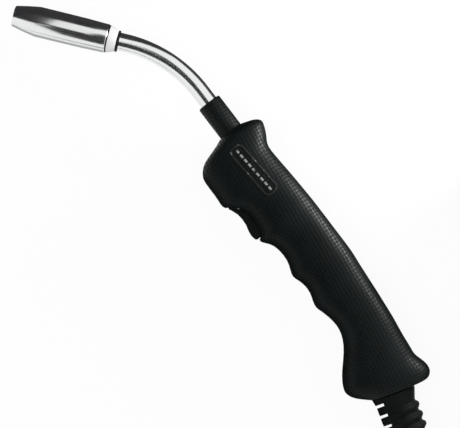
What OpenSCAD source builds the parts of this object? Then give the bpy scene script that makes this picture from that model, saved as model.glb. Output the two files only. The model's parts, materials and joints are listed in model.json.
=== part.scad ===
// MIG welding torch with a swan neck, a trigger handle, a coiled cable and a central connector.
// Working frame: the neck's straight part runs along X, the handle's back faces +Y, and the
// torch lies on its side, so the two handle halves meet at z = 0.

/* [Neck] */
// Outside diameter of the neck tube
neck_d = 11; // [10:0.5:14]
// Wall of the neck tube
neck_wall = 0.8; // [0.6:0.1:1.2]
// Centreline radius of the neck's bend
neck_r = 80; // [60:1:110]
// Angle that the neck turns through
neck_angle = 39; // [25:1:60]
// Straight neck between the handle and the bend
neck_straight = 30; // [26:1:60]
// Outside diameter of the sleeve on the neck
sleeve_d = 15; // [14:0.5:18]
// Length of sleeve in front of the handle
sleeve_l = 22; // [12:1:26]
// Outside diameter of the conductor tube in the neck
core_d = 7; // [6:0.5:7.5]
// Bore of the conductor tube
core_bore = 4; // [3.4:0.2:4.6]
// Outside diameter of the wire liner
liner_d = 3; // [2.6:0.1:3.2]
// Bore of the wire liner
liner_bore = 1.4; // [1.2:0.1:1.8]

/* [Nozzle] */
// Length of the gas nozzle
nozzle_l = 57.5; // [50:0.5:65]
// Outside diameter at the nozzle's shoulder
nozzle_d = 18.2; // [17.4:0.2:21]
// Outside diameter at the nozzle's rear
nozzle_rear_d = 17.3; // [16.8:0.1:18.2]
// Outside diameter at the mouth
mouth_d = 12.4; // [12:0.2:15]
// Bore of the mouth
mouth_bore = 10; // [9:0.2:11]
// Length of the tapered front of the nozzle
taper_l = 14.5; // [10:0.5:20]
// Bore of the nozzle
nozzle_bore = 14; // [13.6:0.2:14.8]
// Visible length of the white insulator
insulator_l = 6; // [4:0.5:9]
// Diameter of the insulator where it meets the neck ring
insulator_d = 13.2; // [12.6:0.2:15]
// Length of the insulator's sleeve inside the nozzle
spigot_l = 18; // [14:0.5:22]
// Outside diameter of the contact tip
tip_d = 8; // [7:0.5:8.5]
// Length of the contact tip in front of its adapter
tip_l = 26; // [24:0.5:30]
// Bore of the contact tip
tip_bore = 1; // [0.8:0.1:1.4]
// Thread diameter of the contact tip
tip_thread_d = 6; // [5:0.5:6.5]

/* [Handle] */
// Length of the handle
handle_l = 188.5; // [184:0.5:215]
// Handle width, from side to side
handle_w = 33; // [31:0.5:38]
// Handle wall thickness
wall = 2.4; // [1.8:0.1:3]
// Front guard, in percent of the handle's length
guard_share = 17.5; // [17:0.1:19]
// Trigger opening, in percent of the handle's length
opening_share = 15.4; // [15:0.1:17]
// Finger grip, in percent of the handle's length
grip_share = 46.7; // [42:0.1:48]
// Height of the thumb ridge above the neck's axis
ridge_h = 18.8; // [17:0.2:22]
// Height of the back above the neck's axis
back_h = 14.1; // [13.6:0.1:17]
// Depth of the front guard below the neck's axis
guard_h = 30.8; // [30:0.2:34]
// Depth of the finger grooves' floors below the neck's axis
groove_h = 19.6; // [19:0.2:24]
// Height of the crests between the finger grooves
crest = 3.9; // [2:0.1:6]
// Depth of the hand stop below the neck's axis
stop_h = 40.3; // [37:0.2:46]
// Diameter of the handle screws
screw_d = 3; // [2.5:0.5:3.5]

/* [Trigger] */
// Width of the trigger
trigger_w = 11; // [9:0.5:12]
// Diameter of the trigger's hinge pin
pin_d = 3; // [2.5:0.5:3.5]
// How far the trigger stands out of the handle at its finger hollow
trigger_out = 4.2; // [3:0.2:6]
// Length of the microswitch
switch_l = 20; // [18:0.5:21]
// Height of the microswitch
switch_h = 9.6; // [9:0.2:10]
// Thickness of the microswitch
switch_t = 6.4; // [6:0.1:7]

/* [Cable] */
// Diameter of the power cable
cable_d = 14; // [12:0.5:14.5]
// How far the cable leaves the handle below the neck's axis
cable_drop = 17.2; // [15:0.2:19]
// Length of the bend protector outside the handle
boot_l = 58; // [40:1:70]
// Diameter of the bend protector's ribs
boot_d = 25; // [22:0.5:26]
// Pitch of the bend protector's ribs
rib_pitch = 6.2; // [5:0.1:8]

/* [Connector] */
// Largest diameter of the connector housing
plug_d = 42; // [40:0.5:44]
// Length of the connector housing
plug_l = 80; // [70:1:90]
// Diameter of the connector's power pin
power_pin_d = 12; // [10:0.5:13]
// Length of the power pin in front of the plug face
power_pin_l = 24; // [18:0.5:26]
// Diameter of the gas nipple
nipple_d = 5; // [4:0.5:6]
// Diameter of a control pin
control_d = 3.6; // [3:0.1:4]
// Travel of a control pin
control_travel = 2; // [1.5:0.5:2.5]
// Length of the coupling nut
nut_l = 32; // [30:0.5:38]

/* [Fits] */
// Radial gap of a running fit
run_gap = 0.05; // [0.03:0.01:0.09]
// Gap between fixed pieces that are assembled into each other
seat_gap = 0.1; // [0.05:0.01:0.2]
// Gap in front of a moving piece
move_gap = 0.3; // [0.2:0.05:0.6]

/* [Hidden] */
$fn = 48;
eps = 0.01;

// Stations along the handle: 0 front face, 1 guard corner, 2 first crest, 3 end of grip, 4 rear face.
tail_share = 100 - guard_share - opening_share - grip_share;
zone_l = [for (share = [guard_share, opening_share, grip_share, tail_share]) handle_l * share / 100];
function start(i) = i == 0 ? 0 : start(i - 1) + zone_l[i - 1];
function along(u) = u >= 4 ? start(4) : start(floor(u)) + (u - floor(u)) * zone_l[floor(u)];

// Outline of the handle. Each row: station and height of the back, station and height of the
// belly, and the half width as a share of the handle's.
collar = sleeve_d / 2 + 1.1;
recess_h = groove_h + 2.7;
crest_h = groove_h + crest;
outline = [
    [0, collar, 0, -collar, 0.55],
    [0.03, ridge_h * 0.60, 0.035, -guard_h * 0.36, 0.70],
    [0.06, ridge_h * 0.77, 0.075, -guard_h * 0.49, 0.78],
    [0.11, ridge_h * 0.91, 0.12, -guard_h * 0.65, 0.85],
    [0.17, ridge_h, 0.17, -guard_h * 0.80, 0.89],
    [0.24, ridge_h * 0.98, 0.25, -guard_h * 0.90, 0.92],
    [0.39, ridge_h * 0.87, 0.35, -guard_h * 0.98, 0.95],
    [0.51, ridge_h * 0.74, 0.45, -guard_h, 0.965],
    [0.61, back_h - 2.1, 0.60, -guard_h, 0.98],
    [0.85, back_h - 1.7, 0.85, -guard_h, 0.99],
    [1.0, back_h - 1.4, 1.0, -guard_h - 1, 1],
    [1.10, back_h - 1.2, 1.10, -guard_h + 2, 1],
    [1.24, back_h - 1.0, 1.24, -recess_h - 3.4, 1],
    [1.36, back_h - 0.8, 1.34, -recess_h, 1],
    [1.65, back_h - 0.4, 1.65, -recess_h + 0.3, 1],
    [1.94, back_h - 0.1, 1.94, -recess_h, 1],
    [2.0, back_h, 1.985, -crest_h - 2.6, 1],
    [2.03, back_h, 2.02, -crest_h - 2.2, 0.995],
    [2.07, back_h, 2.068, -groove_h - 2.1, 0.985],
    [2.12, back_h, 2.114, -groove_h - 0.6, 0.975],
    [2.18, back_h, 2.18, -groove_h, 0.965],
    [2.24, back_h, 2.24, -groove_h - 0.4, 0.965],
    [2.29, back_h, 2.29, -groove_h - 2.2, 0.965],
    [2.335, back_h, 2.335, -crest_h, 0.97],
    [2.38, back_h, 2.38, -groove_h - 2.0, 0.965],
    [2.44, back_h - 0.1, 2.44, -groove_h - 0.7, 0.965],
    [2.50, back_h - 0.6, 2.50, -groove_h - 1.0, 0.965],
    [2.55, back_h - 1.1, 2.55, -groove_h - 2.8, 0.97],
    [2.60, back_h - 1.4, 2.60, -crest_h, 0.975],
    [2.65, back_h - 1.8, 2.64, -groove_h - 2.4, 0.975],
    [2.71, back_h - 2.2, 2.71, -groove_h - 0.8, 0.975],
    [2.79, back_h - 2.8, 2.785, -groove_h, 0.98],
    [2.87, back_h - 3.5, 2.85, -groove_h - 1.1, 0.985],
    [2.96, back_h - 4.2, 2.92, -groove_h - 3.9, 0.99],
    [3.08, back_h - 5.2, 3.0, -stop_h * 0.73, 1],
    [3.24, back_h - 6.1, 3.13, -stop_h * 0.85, 1],
    [3.40, back_h - 6.6, 3.26, -stop_h * 0.94, 1],
    [3.51, back_h - 7.2, 3.36, -stop_h * 0.99, 0.995],
    [3.60, back_h - 7.5, 3.42, -stop_h, 0.985],
    [3.69, back_h - 6.3, 3.49, -stop_h * 0.985, 0.97],
    [3.79, back_h - 5.2, 3.56, -stop_h * 0.945, 0.955],
    [3.88, back_h - 5.2, 3.62, -stop_h * 0.89, 0.935],
    [3.95, back_h - 6.3, 3.68, -stop_h * 0.83, 0.91],
    [4.0, back_h - 9.1, 3.735, -stop_h * 0.775, 0.87]];
stations = len(outline);
ring_steps = 12;
roundness = 2 / 2.6;

// Point k of the half ring at station i, moved inwards by the inset d.
function back_pt(i) = [along(outline[i][0]), outline[i][1]];
function belly_pt(i) = [along(outline[i][2]), outline[i][3]];
function bow(v) = sign(v) * pow(abs(v), roundness);
function ring_pt(i, k, d, x_in) =
    let (a = back_pt(i), b = belly_pt(i), m = (a + b) / 2, h = (a - b) / 2)
    let (t = 180 * k / ring_steps, s = max(0, 1 - d / norm(h)) * bow(cos(t)))
    let (w = max(0.5, outline[i][4] * handle_w / 2 - d))
    [m[0] + h[0] * s + x_in, m[1] + h[1] * s, w * bow(abs(sin(t)) < 1e-9 ? 0 : sin(t))];

// The inner loft starts a wall's thickness inside each end.
function slide_in(i, d) = let (f = i / (stations - 1)) d * (1 - 2 * f);
function loft_points(d) = [
    for (i = [0 : stations - 1]) for (k = [0 : ring_steps]) ring_pt(i, k, d, slide_in(i, d))];
function grid_faces(base, flip) = [
    for (i = [0 : stations - 2]) for (k = [0 : ring_steps - 1])
    let (n = ring_steps + 1, a = base + i * n + k, q = [[a, a + 1, a + n + 1], [a, a + n + 1, a + n]])
    for (f = q) flip ? [f[2], f[1], f[0]] : f];
function end_faces(base, flip) = [
    for (k = [1 : ring_steps - 1]) flip ? [base + k + 1, base + k, base] : [base, base + k, base + k + 1]];

// Half of the handle's form, solid, for trimming ribs and bosses to the wall.
module half_form(d) {
    n = ring_steps + 1;
    last = (stations - 1) * n;
    split = [for (i = [0 : stations - 2]) for (f = [
        [i * n, (i + 1) * n, (i + 1) * n + ring_steps],
        [i * n, (i + 1) * n + ring_steps, i * n + ring_steps]]) f];
    faces = concat(grid_faces(0, false), end_faces(0, false), end_faces(last, true), split);
    polyhedron(loft_points(d), faces);
}

// Half of the hollow handle in one skin.
module half_skin() {
    n = ring_steps + 1;
    m = stations * n;
    last = (stations - 1) * n;
    rim = [for (i = [0 : stations - 2]) for (e = [0, ring_steps])
        let (a = i * n + e, b = a + n, q = [[a, b, b + m], [a, b + m, a + m]])
        for (f = q) e == 0 ? f : [f[2], f[1], f[0]]];
    ends = [for (c = [[0, false], [last, true]])
        let (a = c[0], b = a + ring_steps, q = [[a, a + m, b + m], [a, b + m, b]])
        for (f = q) c[1] ? [f[2], f[1], f[0]] : f];
    faces = concat(
        grid_faces(0, false), end_faces(0, false), end_faces(last, true),
        grid_faces(m, true), end_faces(m, true), end_faces(m + last, false),
        rim, ends);
    polyhedron(concat(loft_points(0), loft_points(wall)), faces);
}

// Neck: straight part, bend and nose.
neck_bore_r = neck_d / 2 - neck_wall;
core_r = core_d / 2;
bend_end = [-neck_straight - neck_r * sin(neck_angle), -neck_r * (1 - cos(neck_angle))];
neck_front = 4.6;
ring_t = 1.2;
flange_s = neck_front + ring_t;
nozzle_s = flange_s + insulator_l;
spigot_s = nozzle_s + spigot_l;
diffuser_l = 7;
adapter_back = 9.2;
adapter_s = spigot_s + diffuser_l + 1.4;
core_front = adapter_back + 4;
thread_l = 6;
tip_s = adapter_s + tip_l;

module at_nose(s = 0) {
    translate([bend_end[0], bend_end[1], 0])
        rotate([0, 0, neck_angle]) rotate([0, -90, 0]) translate([0, 0, s]) children();
}
// The neck's centreline, from x_back in the handle to s in the nose.
bend_steps = 14;
pipe_sides = 24;
nose_dir = [-cos(neck_angle), -sin(neck_angle), 0];
function neck_path(x_back, s) = concat(
    [[x_back, 0, 0]],
    [for (i = [0 : bend_steps]) let (a = 90 + neck_angle * i / bend_steps)
        [-neck_straight + neck_r * cos(a), neck_r * (sin(a) - 1), 0]],
    [[bend_end[0], bend_end[1], 0] + s * nose_dir]);
module neck_pipe(r_out, r_in, x_back, s) {
    swept_pipe(neck_path(x_back, s), r_out, r_in, pipe_sides);
}

// Power block, lock nut and cable end along the neck's axis.
sleeve_in = 10;
lock_nut_x = sleeve_in + 1;
lock_nut_l = 6;
lock_nut_af = 15;
block_x = lock_nut_x + lock_nut_l;
block_l = 26;
block_r = min(8.4, back_h - 1.4 - wall - 1.2);
neck_in = block_x + 14;
core_in = block_x + 19;
nipple_x = block_x + block_l;
barb_l = 12;
cable_x = nipple_x + 4;
cable_r = cable_d / 2;
hose_bore_r = 4.2;
ferrule_wall = 0.8;
ferrule_l = 10;
seats = [block_x + 4, block_x + block_l - 4];

// Cable path in the handle: straight, bend, straight to the boot.
boot_angle = 16.5;
inner_bend = 200;
rear_top = back_pt(stations - 1);
rear_low = belly_pt(stations - 1);
face_pt = rear_top + (rear_low - rear_top) * (rear_top[1] + cable_drop) / (rear_top[1] - rear_low[1]);
bend_x = face_pt[0] - cable_drop / tan(boot_angle);
bend_run = inner_bend * tan(boot_angle / 2);
module at_boot(t = 0) {
    translate([face_pt[0], face_pt[1], 0])
        rotate([0, 0, -boot_angle]) rotate([0, 90, 0]) translate([0, 0, t]) children();
}
function cable_path(x_start, t_end) = concat(
    [[x_start, 0, 0]],
    [for (i = [0 : 5]) let (a = 90 - boot_angle * i / 5)
        [bend_x - bend_run + inner_bend * cos(a), inner_bend * (sin(a) - 1), 0]],
    [[face_pt[0], face_pt[1], 0] + t_end * [cos(boot_angle), -sin(boot_angle), 0]]);

// Bend protector.
boot_flange_t = 3;
boot_flange_r = boot_d / 2 - 0.8;
boot_neck_r = boot_d / 2 - 2.4;
boot_end_r = cable_r + 2.2;
clamp_t = -22;
clamp_l = 7;
clamp_r = cable_r + 3;
rib_t = 1.8;

// Trigger, pin and switch.
pin_x = along(1) + 5.6;
pin_y = -recess_h - 1.3;
trigger_front = along(1) + 2.6;
trigger_rear = along(2) - 1.1;
trigger_in = recess_h - 1.2;
trigger_tip = recess_h + trigger_out;
press_angle = 6;
lever_top = -trigger_in;
switch_x = pin_x + 9;
switch_y = lever_top + move_gap + 1.5;
button_x = switch_x + 4;
button_r = 1.2;
button_out = 1.5;
hole_xs = [switch_x + 5.2, switch_x + 14.7];
hole_up = 2.8;
hole_d = 2.4;
spring_x = pin_x + 4.6;
spring_r = 1.7;
spring_wire = 0.5;
spring_turns = 4;
spring_foot = lever_top - 1.5;
spring_top = lever_top + 5;
boss_z = trigger_w / 2 + 0.6;
boss_r = pin_d / 2 + 1.5;
screws = [
    [along(0.29), ridge_h * 0.66], [along(0.62), -guard_h * 0.80], [along(2.335), -groove_h + 2.6],
    [along(3.24), -stop_h * 0.78], [along(3.80), back_h - 12]];
screw_boss_r = screw_d / 2 + 1.6;
head_r = screw_d / 2 + 1.2;
head_h = 2.2;
head_z = handle_w * 0.18;
thread_z = handle_w * 0.2;

// Cable route outside the boot: down to the floor, into the coil, and from the coil to the connector.
floor_z = -handle_w / 2;
run_l = 61;
run_steps = 8;
run_start = 0.4;
exit_dir = [cos(boot_angle), -sin(boot_angle)];
exit_pt = [face_pt[0] + boot_l * exit_dir[0], face_pt[1] + boot_l * exit_dir[1]];
function ease(t) = t * t * (3 - 2 * t);
run_points = [for (i = [0 : run_steps])
    let (t = i / run_steps, p = exit_pt + (run_start + t * run_l) * exit_dir)
    [p[0], p[1], ease(t) * (floor_z + cable_d / 2)]];
coil_mid_r = 75;
coil_turns_wide = 3;
coil_layers = 2;
turn_r = coil_mid_r + cable_d;
coil_x = exit_pt[0] + (run_start + run_l) * exit_dir[0] + turn_r * sin(boot_angle);
coil_y = exit_pt[1] + (run_start + run_l) * exit_dir[1] + turn_r * cos(boot_angle);
plug_x = coil_x - 4 * cable_d;
plug_y = coil_y + turn_r;
plug_z = floor_z + plug_d / 2;

// A round tube swept along a list of points.
tube_sides = 12;
function unit(v) = v / norm(v);
function step_dir(p, i) = unit(p[i + 1] - p[i]);
function heading(p, i) =
    i == 0 ? step_dir(p, 0) : i == len(p) - 1 ? step_dir(p, i - 1) : unit(step_dir(p, i - 1) + step_dir(p, i));
function hoop(p, i, r, n) =
    let (t = heading(p, i), u = unit(cross([0, 0, 1], t)), v = cross(t, u))
    [for (k = [0 : n - 1]) p[i] + r * (cos(360 * k / n) * u + sin(360 * k / n) * v)];
function tube_faces(rings, n, base) = [for (i = [0 : rings - 2]) for (k = [0 : n - 1])
    let (a = base + i * n + k, b = base + i * n + (k + 1) % n) each [[a, a + n, b], [b, a + n, b + n]]];
function turned(faces) = [for (f = faces) [f[2], f[1], f[0]]];
module swept_pipe(p, r_out, r_in, n) {
    rings = len(p);
    m = rings * n;
    points = [for (r = [r_out, r_in]) for (i = [0 : rings - 1]) each hoop(p, i, r, n)];
    rims = [for (k = [0 : n - 1])
        let (j = (k + 1) % n, z = (rings - 1) * n)
        each [[k, j, m + k], [j, m + j, m + k], [z + k, m + z + k, z + j], [z + j, m + z + k, m + z + j]]];
    polyhedron(points, concat(tube_faces(rings, n, 0), turned(tube_faces(rings, n, m)), rims));
}
module swept_tube(p, r, n = tube_sides) {
    rings = len(p);
    points = [for (i = [0 : rings - 1]) each hoop(p, i, r, n)];
    z = (rings - 1) * n;
    caps = [for (k = [1 : n - 2]) each [[0, k, k + 1], [z, z + k + 1, z + k]]];
    polyhedron(points, concat(tube_faces(rings, n, 0), caps));
}
function helix(r, turns, length, steps) = [
    for (i = [0 : turns * steps]) let (a = 360 * i / steps)
    [r * cos(a), r * sin(a), length * i / (turns * steps)]];

// Row frame: bottom centre of the torch's box, without the cable and its connector.
mouth_s = nozzle_s + nozzle_l;
x_low = bend_end[0] - mouth_s * cos(neck_angle) - mouth_d / 2 * sin(neck_angle);
x_high = face_pt[0] + boot_l * cos(boot_angle) + boot_end_r * sin(boot_angle);
y_low = min(bend_end[1] - mouth_s * sin(neck_angle) - mouth_d / 2 * cos(neck_angle), -stop_h);
module torch() {
    translate([-(x_low + x_high) / 2, -(y_low + ridge_h) / 2, handle_w / 2]) children();
}

// ---- handle ----
// The features that both halves carry inside, before they are trimmed to the wall.
module half_ribs() {
    for (x = seats) translate([x - 1, -block_r - 5, 0]) cube([2, block_r * 2 + 20, handle_w]);
    for (t = [clamp_t - rib_t - seat_gap, clamp_t + clamp_l + seat_gap])
        at_boot(t) translate([-stop_h, -stop_h, 0]) cube([2 * stop_h, 2 * stop_h, rib_t]);
    for (p = screws) translate([p[0], p[1], 0]) cylinder(r = screw_boss_r, h = handle_w);
    translate([pin_x, pin_y, boss_z]) cylinder(r = boss_r, h = handle_w);
    for (x = hole_xs) translate([x, switch_y + hole_up, switch_t / 2 + seat_gap])
        cylinder(r = hole_d, h = handle_w);
    translate([spring_x - 2.6, spring_top, 0]) cube([5.2, 1.6, handle_w]);
}
module half_cuts() {
    translate([-5, 0, 0]) rotate([0, 90, 0]) cylinder(r = sleeve_d / 2 + seat_gap, h = 5 + sleeve_in + 0.5);
    for (x = seats) translate([x - 2, 0, 0]) rotate([0, 90, 0]) cylinder(r = block_r + seat_gap, h = 4);
    at_boot(-boot_flange_t - 1) cylinder(r = boot_neck_r + seat_gap, h = boot_flange_t + 6);
    at_boot(clamp_t - 4) cylinder(r = cable_r + 1, h = clamp_l + 8);
    translate([trigger_front - 1, -guard_h * 2, -1])
        cube([trigger_rear - trigger_front + 1.7, guard_h * 2 - trigger_in + 2, trigger_w / 2 + move_gap + 1]);
    translate([pin_x, pin_y, -1]) cylinder(r = pin_d / 2 + seat_gap, h = boss_z + 4.4);
}
module half_shell() {
    difference() {
        union() {
            half_skin();
            intersection() {
                half_form(wall / 2);
                difference() {
                    half_ribs();
                    swept_tube(cable_path(cable_x - 5, 2), cable_r + 1.5);
                }
            }
        }
        half_cuts();
    }
}
module handle_shell_left() {
    color("#202224") torch() difference() {
        half_shell();
        for (p = screws) translate([p[0], p[1], -1]) cylinder(d = screw_d + seat_gap, h = thread_z + 2);
    }
}
module handle_shell_right() {
    color("#202224") torch() difference() {
        mirror([0, 0, 1]) half_shell();
        for (p = screws) {
            translate([p[0], p[1], -head_z - 1]) cylinder(d = screw_d + 0.4, h = head_z + 2);
            translate([p[0], p[1], -handle_w]) cylinder(r = head_r + seat_gap, h = handle_w - head_z);
        }
    }
}
module handle_screws() {
    color("#3a3d40") torch() for (p = screws) translate([p[0], p[1], 0]) difference() {
        union() {
            translate([0, 0, -head_z]) cylinder(d = screw_d, h = head_z + thread_z);
            translate([0, 0, -head_z - head_h]) cylinder(r = head_r, h = head_h);
        }
        for (a = [0, 90]) rotate([0, 0, a])
            translate([-head_r * 0.7, -0.4, -head_z - head_h - 1]) cube([head_r * 1.4, 0.8, 2]);
    }
}

// ---- neck and nose ----
module neck_sleeve() {
    color("#1c1c1e") torch() difference() {
        union() {
            translate([-sleeve_l + 0.6, 0, 0]) rotate([0, 90, 0])
                cylinder(d = sleeve_d, h = sleeve_l + sleeve_in - 0.6);
            translate([-sleeve_l, 0, 0]) rotate([0, 90, 0])
                cylinder(d1 = sleeve_d - 1.2, d2 = sleeve_d, h = 0.6);
        }
        translate([-sleeve_l - 1, 0, 0]) rotate([0, 90, 0])
            cylinder(r = neck_d / 2 + run_gap, h = sleeve_l + sleeve_in + 2);
    }
}
module neck_tube() {
    color("#c8ccd0") torch() neck_pipe(neck_d / 2, neck_bore_r, neck_in, neck_front);
}
module neck_insulation() {
    color("#e8e4d8") torch() neck_pipe(neck_bore_r - run_gap, core_r + run_gap, neck_in, adapter_back - 0.2);
}
module neck_conductor() {
    color("#c77a45") torch() neck_pipe(core_r, core_bore / 2, core_in, core_front);
}
module wire_liner() {
    color("#8f9499") torch() neck_pipe(liner_d / 2, liner_bore / 2, nipple_x + barb_l, core_front + 3);
}
module neck_ring() {
    color("#151515") torch() at_nose(neck_front) difference() {
        cylinder(d = insulator_d - 0.2, h = ring_t);
        translate([0, 0, -1]) cylinder(r = neck_bore_r + seat_gap, h = ring_t + 2);
    }
}
spigot_groove_s = nozzle_s + 4;
spigot_groove_l = 5;
module nozzle_insulator() {
    spigot_r = nozzle_bore / 2 - run_gap;
    color("#f4f2ec") torch() difference() {
        union() {
            at_nose(flange_s) cylinder(d1 = insulator_d, d2 = nozzle_rear_d - 0.7, h = insulator_l - 0.15);
            at_nose(nozzle_s - 0.15) cylinder(r = spigot_r, h = spigot_l + 0.15);
        }
        at_nose(flange_s - 1) cylinder(r = neck_bore_r + seat_gap, h = adapter_back - flange_s + 1 - 0.1);
        at_nose(adapter_back - 0.2) cylinder(r = core_r + 2, h = spigot_s);
        at_nose(spigot_groove_s) difference() {
            cylinder(r = spigot_r + 1, h = spigot_groove_l);
            cylinder(r = spigot_r - 0.75, h = spigot_groove_l);
        }
    }
}
module nozzle_spring() {
    wire_r = 0.33;
    ring_r = nozzle_bore / 2 - run_gap - 0.75 + wire_r + 0.03;
    color("#9aa0a6") torch() for (i = [0 : 2])
        at_nose(spigot_groove_s + 0.8 + i * 1.6) rotate([0, 0, 120 * i])
            rotate_extrude(angle = 340, $fn = 36) translate([ring_r, 0]) circle(wire_r, $fn = 8);
}
module gas_nozzle() {
    shoulder = nozzle_l - taper_l;
    color("#cfd3d6") torch() at_nose(nozzle_s) difference() {
        rotate_extrude() polygon([
            [nozzle_bore / 2, 0], [nozzle_rear_d / 2 - 0.3, 0], [nozzle_rear_d / 2, 0.3],
            [nozzle_d / 2, shoulder * 0.6], [nozzle_d / 2, shoulder],
            [nozzle_d / 2 - (nozzle_d - mouth_d) * 0.24, shoulder + taper_l * 0.5], [mouth_d / 2, nozzle_l],
            [mouth_bore / 2, nozzle_l], [mouth_bore / 2, nozzle_l - 5], [nozzle_bore / 2, nozzle_l - 11]]);
    }
}
adapter_r = core_r + 1.5;
module tip_adapter() {
    color("#c9a14a") torch() difference() {
        union() {
            at_nose(adapter_back) cylinder(r = adapter_r, h = adapter_s - adapter_back);
            at_nose(spigot_s + diffuser_l + seat_gap)
                cylinder(r = adapter_r + 0.5, h = adapter_s - spigot_s - diffuser_l - seat_gap, $fn = 6);
        }
        at_nose(adapter_back - 1) cylinder(r = core_r + run_gap, h = core_front - adapter_back + 1.1);
        at_nose(core_front - 1) cylinder(r = liner_d / 2 + 0.15, h = adapter_s);
        at_nose(adapter_s - thread_l - 0.3) cylinder(d = tip_thread_d + 2 * run_gap, h = thread_l + 1);
        for (a = [0, 90]) at_nose(spigot_s - 8) rotate([0, 0, a]) rotate([90, 0, 0])
            cylinder(r = 0.9, h = adapter_r * 3, center = true);
    }
}
module gas_diffuser() {
    color("#efeade") torch() at_nose(spigot_s + 0.1) difference() {
        cylinder(r = nozzle_bore / 2 - 0.4, h = diffuser_l - 0.1);
        translate([0, 0, -1]) cylinder(r = adapter_r + seat_gap, h = diffuser_l + 2);
        for (a = [0 : 60 : 300]) rotate([0, 0, a]) translate([nozzle_bore / 2 - 1.2, 0, -1])
            cylinder(r = 0.45, h = diffuser_l + 2, $fn = 24);
    }
}
module contact_tip() {
    color("#c06a3a") torch() difference() {
        union() {
            at_nose(adapter_s - thread_l) cylinder(d = tip_thread_d, h = thread_l + 1);
            at_nose(adapter_s) cylinder(d = tip_d, h = tip_l - 6);
            at_nose(tip_s - 6) cylinder(d1 = tip_d, d2 = tip_d * 0.6, h = 6);
        }
        at_nose(adapter_s - thread_l - 1) cylinder(d = tip_bore, h = tip_l + thread_l + 2);
    }
}

// ---- inside the handle ----
module power_block() {
    color("#c9a14a") torch() difference() {
        translate([block_x, 0, 0]) rotate([0, 90, 0]) cylinder(r = block_r, h = block_l);
        translate([block_x - 1, 0, 0]) rotate([0, 90, 0])
            cylinder(r = neck_d / 2 + run_gap, h = neck_in - block_x + 1.2);
        translate([block_x, 0, 0]) rotate([0, 90, 0])
            cylinder(r = core_r + run_gap, h = core_in - block_x + 0.2);
        translate([block_x, 0, 0]) rotate([0, 90, 0]) cylinder(r = liner_d / 2 + 0.3, h = block_l + 1);
    }
}
module neck_lock_nut() {
    color("#b98f3e") torch() translate([lock_nut_x, 0, 0]) rotate([0, 90, 0]) difference() {
        cylinder(d = lock_nut_af / cos(30), h = lock_nut_l - 0.2, $fn = 6);
        translate([0, 0, -1]) cylinder(r = neck_d / 2 + run_gap, h = lock_nut_l + 2);
    }
}
module cable_nipple() {
    color("#c9a14a") torch() translate([nipple_x, 0, 0]) rotate([0, 90, 0]) difference() {
        union() {
            cylinder(r = block_r - 1.5, h = cable_x - nipple_x - 0.2);
            cylinder(r = hose_bore_r - 0.1, h = cable_x - nipple_x + barb_l);
        }
        translate([0, 0, -1]) cylinder(r = liner_d / 2 + 0.3, h = barb_l * 2);
    }
}
module crimp_ferrule() {
    color("#b08a50") torch() translate([cable_x + 0.5, 0, 0]) rotate([0, 90, 0]) difference() {
        cylinder(r = cable_r + ferrule_wall, h = ferrule_l);
        translate([0, 0, -1]) cylinder(r = cable_r + 0.02, h = ferrule_l + 2);
    }
}
module handle_cable() {
    color("#1d1d1f") torch() swept_pipe(cable_path(cable_x, boot_l), cable_r, hose_bore_r, pipe_sides);
}
module cable_clamp() {
    color("#55585c") torch() at_boot(clamp_t) difference() {
        cylinder(r = clamp_r, h = clamp_l);
        translate([0, 0, -1]) cylinder(r = cable_r + run_gap, h = clamp_l + 2);
    }
}
module cable_boot() {
    ribs = floor((boot_l - 8) / rib_pitch);
    clear = 0.6;
    flange_s = -wall - 1;
    function rib_r(t) = boot_d / 2 + (boot_end_r - boot_d / 2) * max(0, t - 20) / (boot_l - 20);
    profile = concat(
        [[cable_r + 0.1, flange_s - boot_flange_t], [boot_flange_r, flange_s - boot_flange_t]],
        [[boot_flange_r, flange_s], [boot_neck_r, flange_s], [boot_neck_r, clear]],
        [[boot_d / 2 + 1.3, clear], [boot_d / 2 + 0.6, 3], [boot_d / 2 - 0.5, 6]],
        [for (i = [1 : ribs]) let (t = 3.3 + i * rib_pitch, r = rib_r(t))
            each [[r - 1.5, t - 0.8], [r - 1.5, t + 0.4], [r, t + 1.8], [r, t + 3.4]]],
        [[boot_end_r, boot_l], [cable_r + 0.1, boot_l]]);
    color("#18181a") torch() difference() {
        at_boot() rotate_extrude() polygon(profile);
        for (i = [0 : 3]) at_boot(5.4 + i * rib_pitch * 1.1) translate([cable_r + 1.5, -boot_d / 2, -0.75])
            cube([boot_d, boot_d, 1.5]);
    }
}

// ---- trigger and switch ----
module trigger() {
    low = -trigger_tip;
    color("#1a1a1c") torch() difference() {
        union() {
            translate([0, 0, -trigger_w / 2]) linear_extrude(trigger_w) polygon([
                [trigger_front, -guard_h + 1.2], [along(1.17), low - 1.9], [along(1.31), low - 0.4],
                [along(1.45), low],
                [along(1.59), low - 0.3], [along(1.72), low - 1.3], [along(1.83), low - 1.7],
                [along(1.93), low - 1.2], [trigger_rear, low - 0.2], [trigger_rear, lever_top - 1.5],
                [trigger_rear - 6.5, lever_top], [pin_x + 2, lever_top], [pin_x - 1.5, pin_y + 2.4],
                [pin_x - 2.6, pin_y]]);
            translate([pin_x, pin_y, -trigger_w / 2]) cylinder(r = boss_r, h = trigger_w);
        }
        translate([pin_x, pin_y, -trigger_w]) cylinder(r = pin_d / 2 + run_gap, h = trigger_w * 2);
        translate([spring_x, spring_foot, 0]) rotate([-90, 0, 0])
            cylinder(r = spring_r + spring_wire / 2 + 0.3, h = 9);
    }
}
module trigger_pin() {
    color("#9aa0a6") torch() translate([pin_x, pin_y, -boss_z - 3]) cylinder(d = pin_d, h = 2 * boss_z + 6);
}
module trigger_spring() {
    path = helix(spring_r, spring_turns, spring_top - spring_foot - spring_wire - 0.2, 12);
    color("#9aa0a6") torch() translate([spring_x, spring_foot + spring_wire / 2 + 0.1, 0])
        rotate([-90, 0, 0]) swept_tube(path, spring_wire / 2, 8);
}
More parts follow.
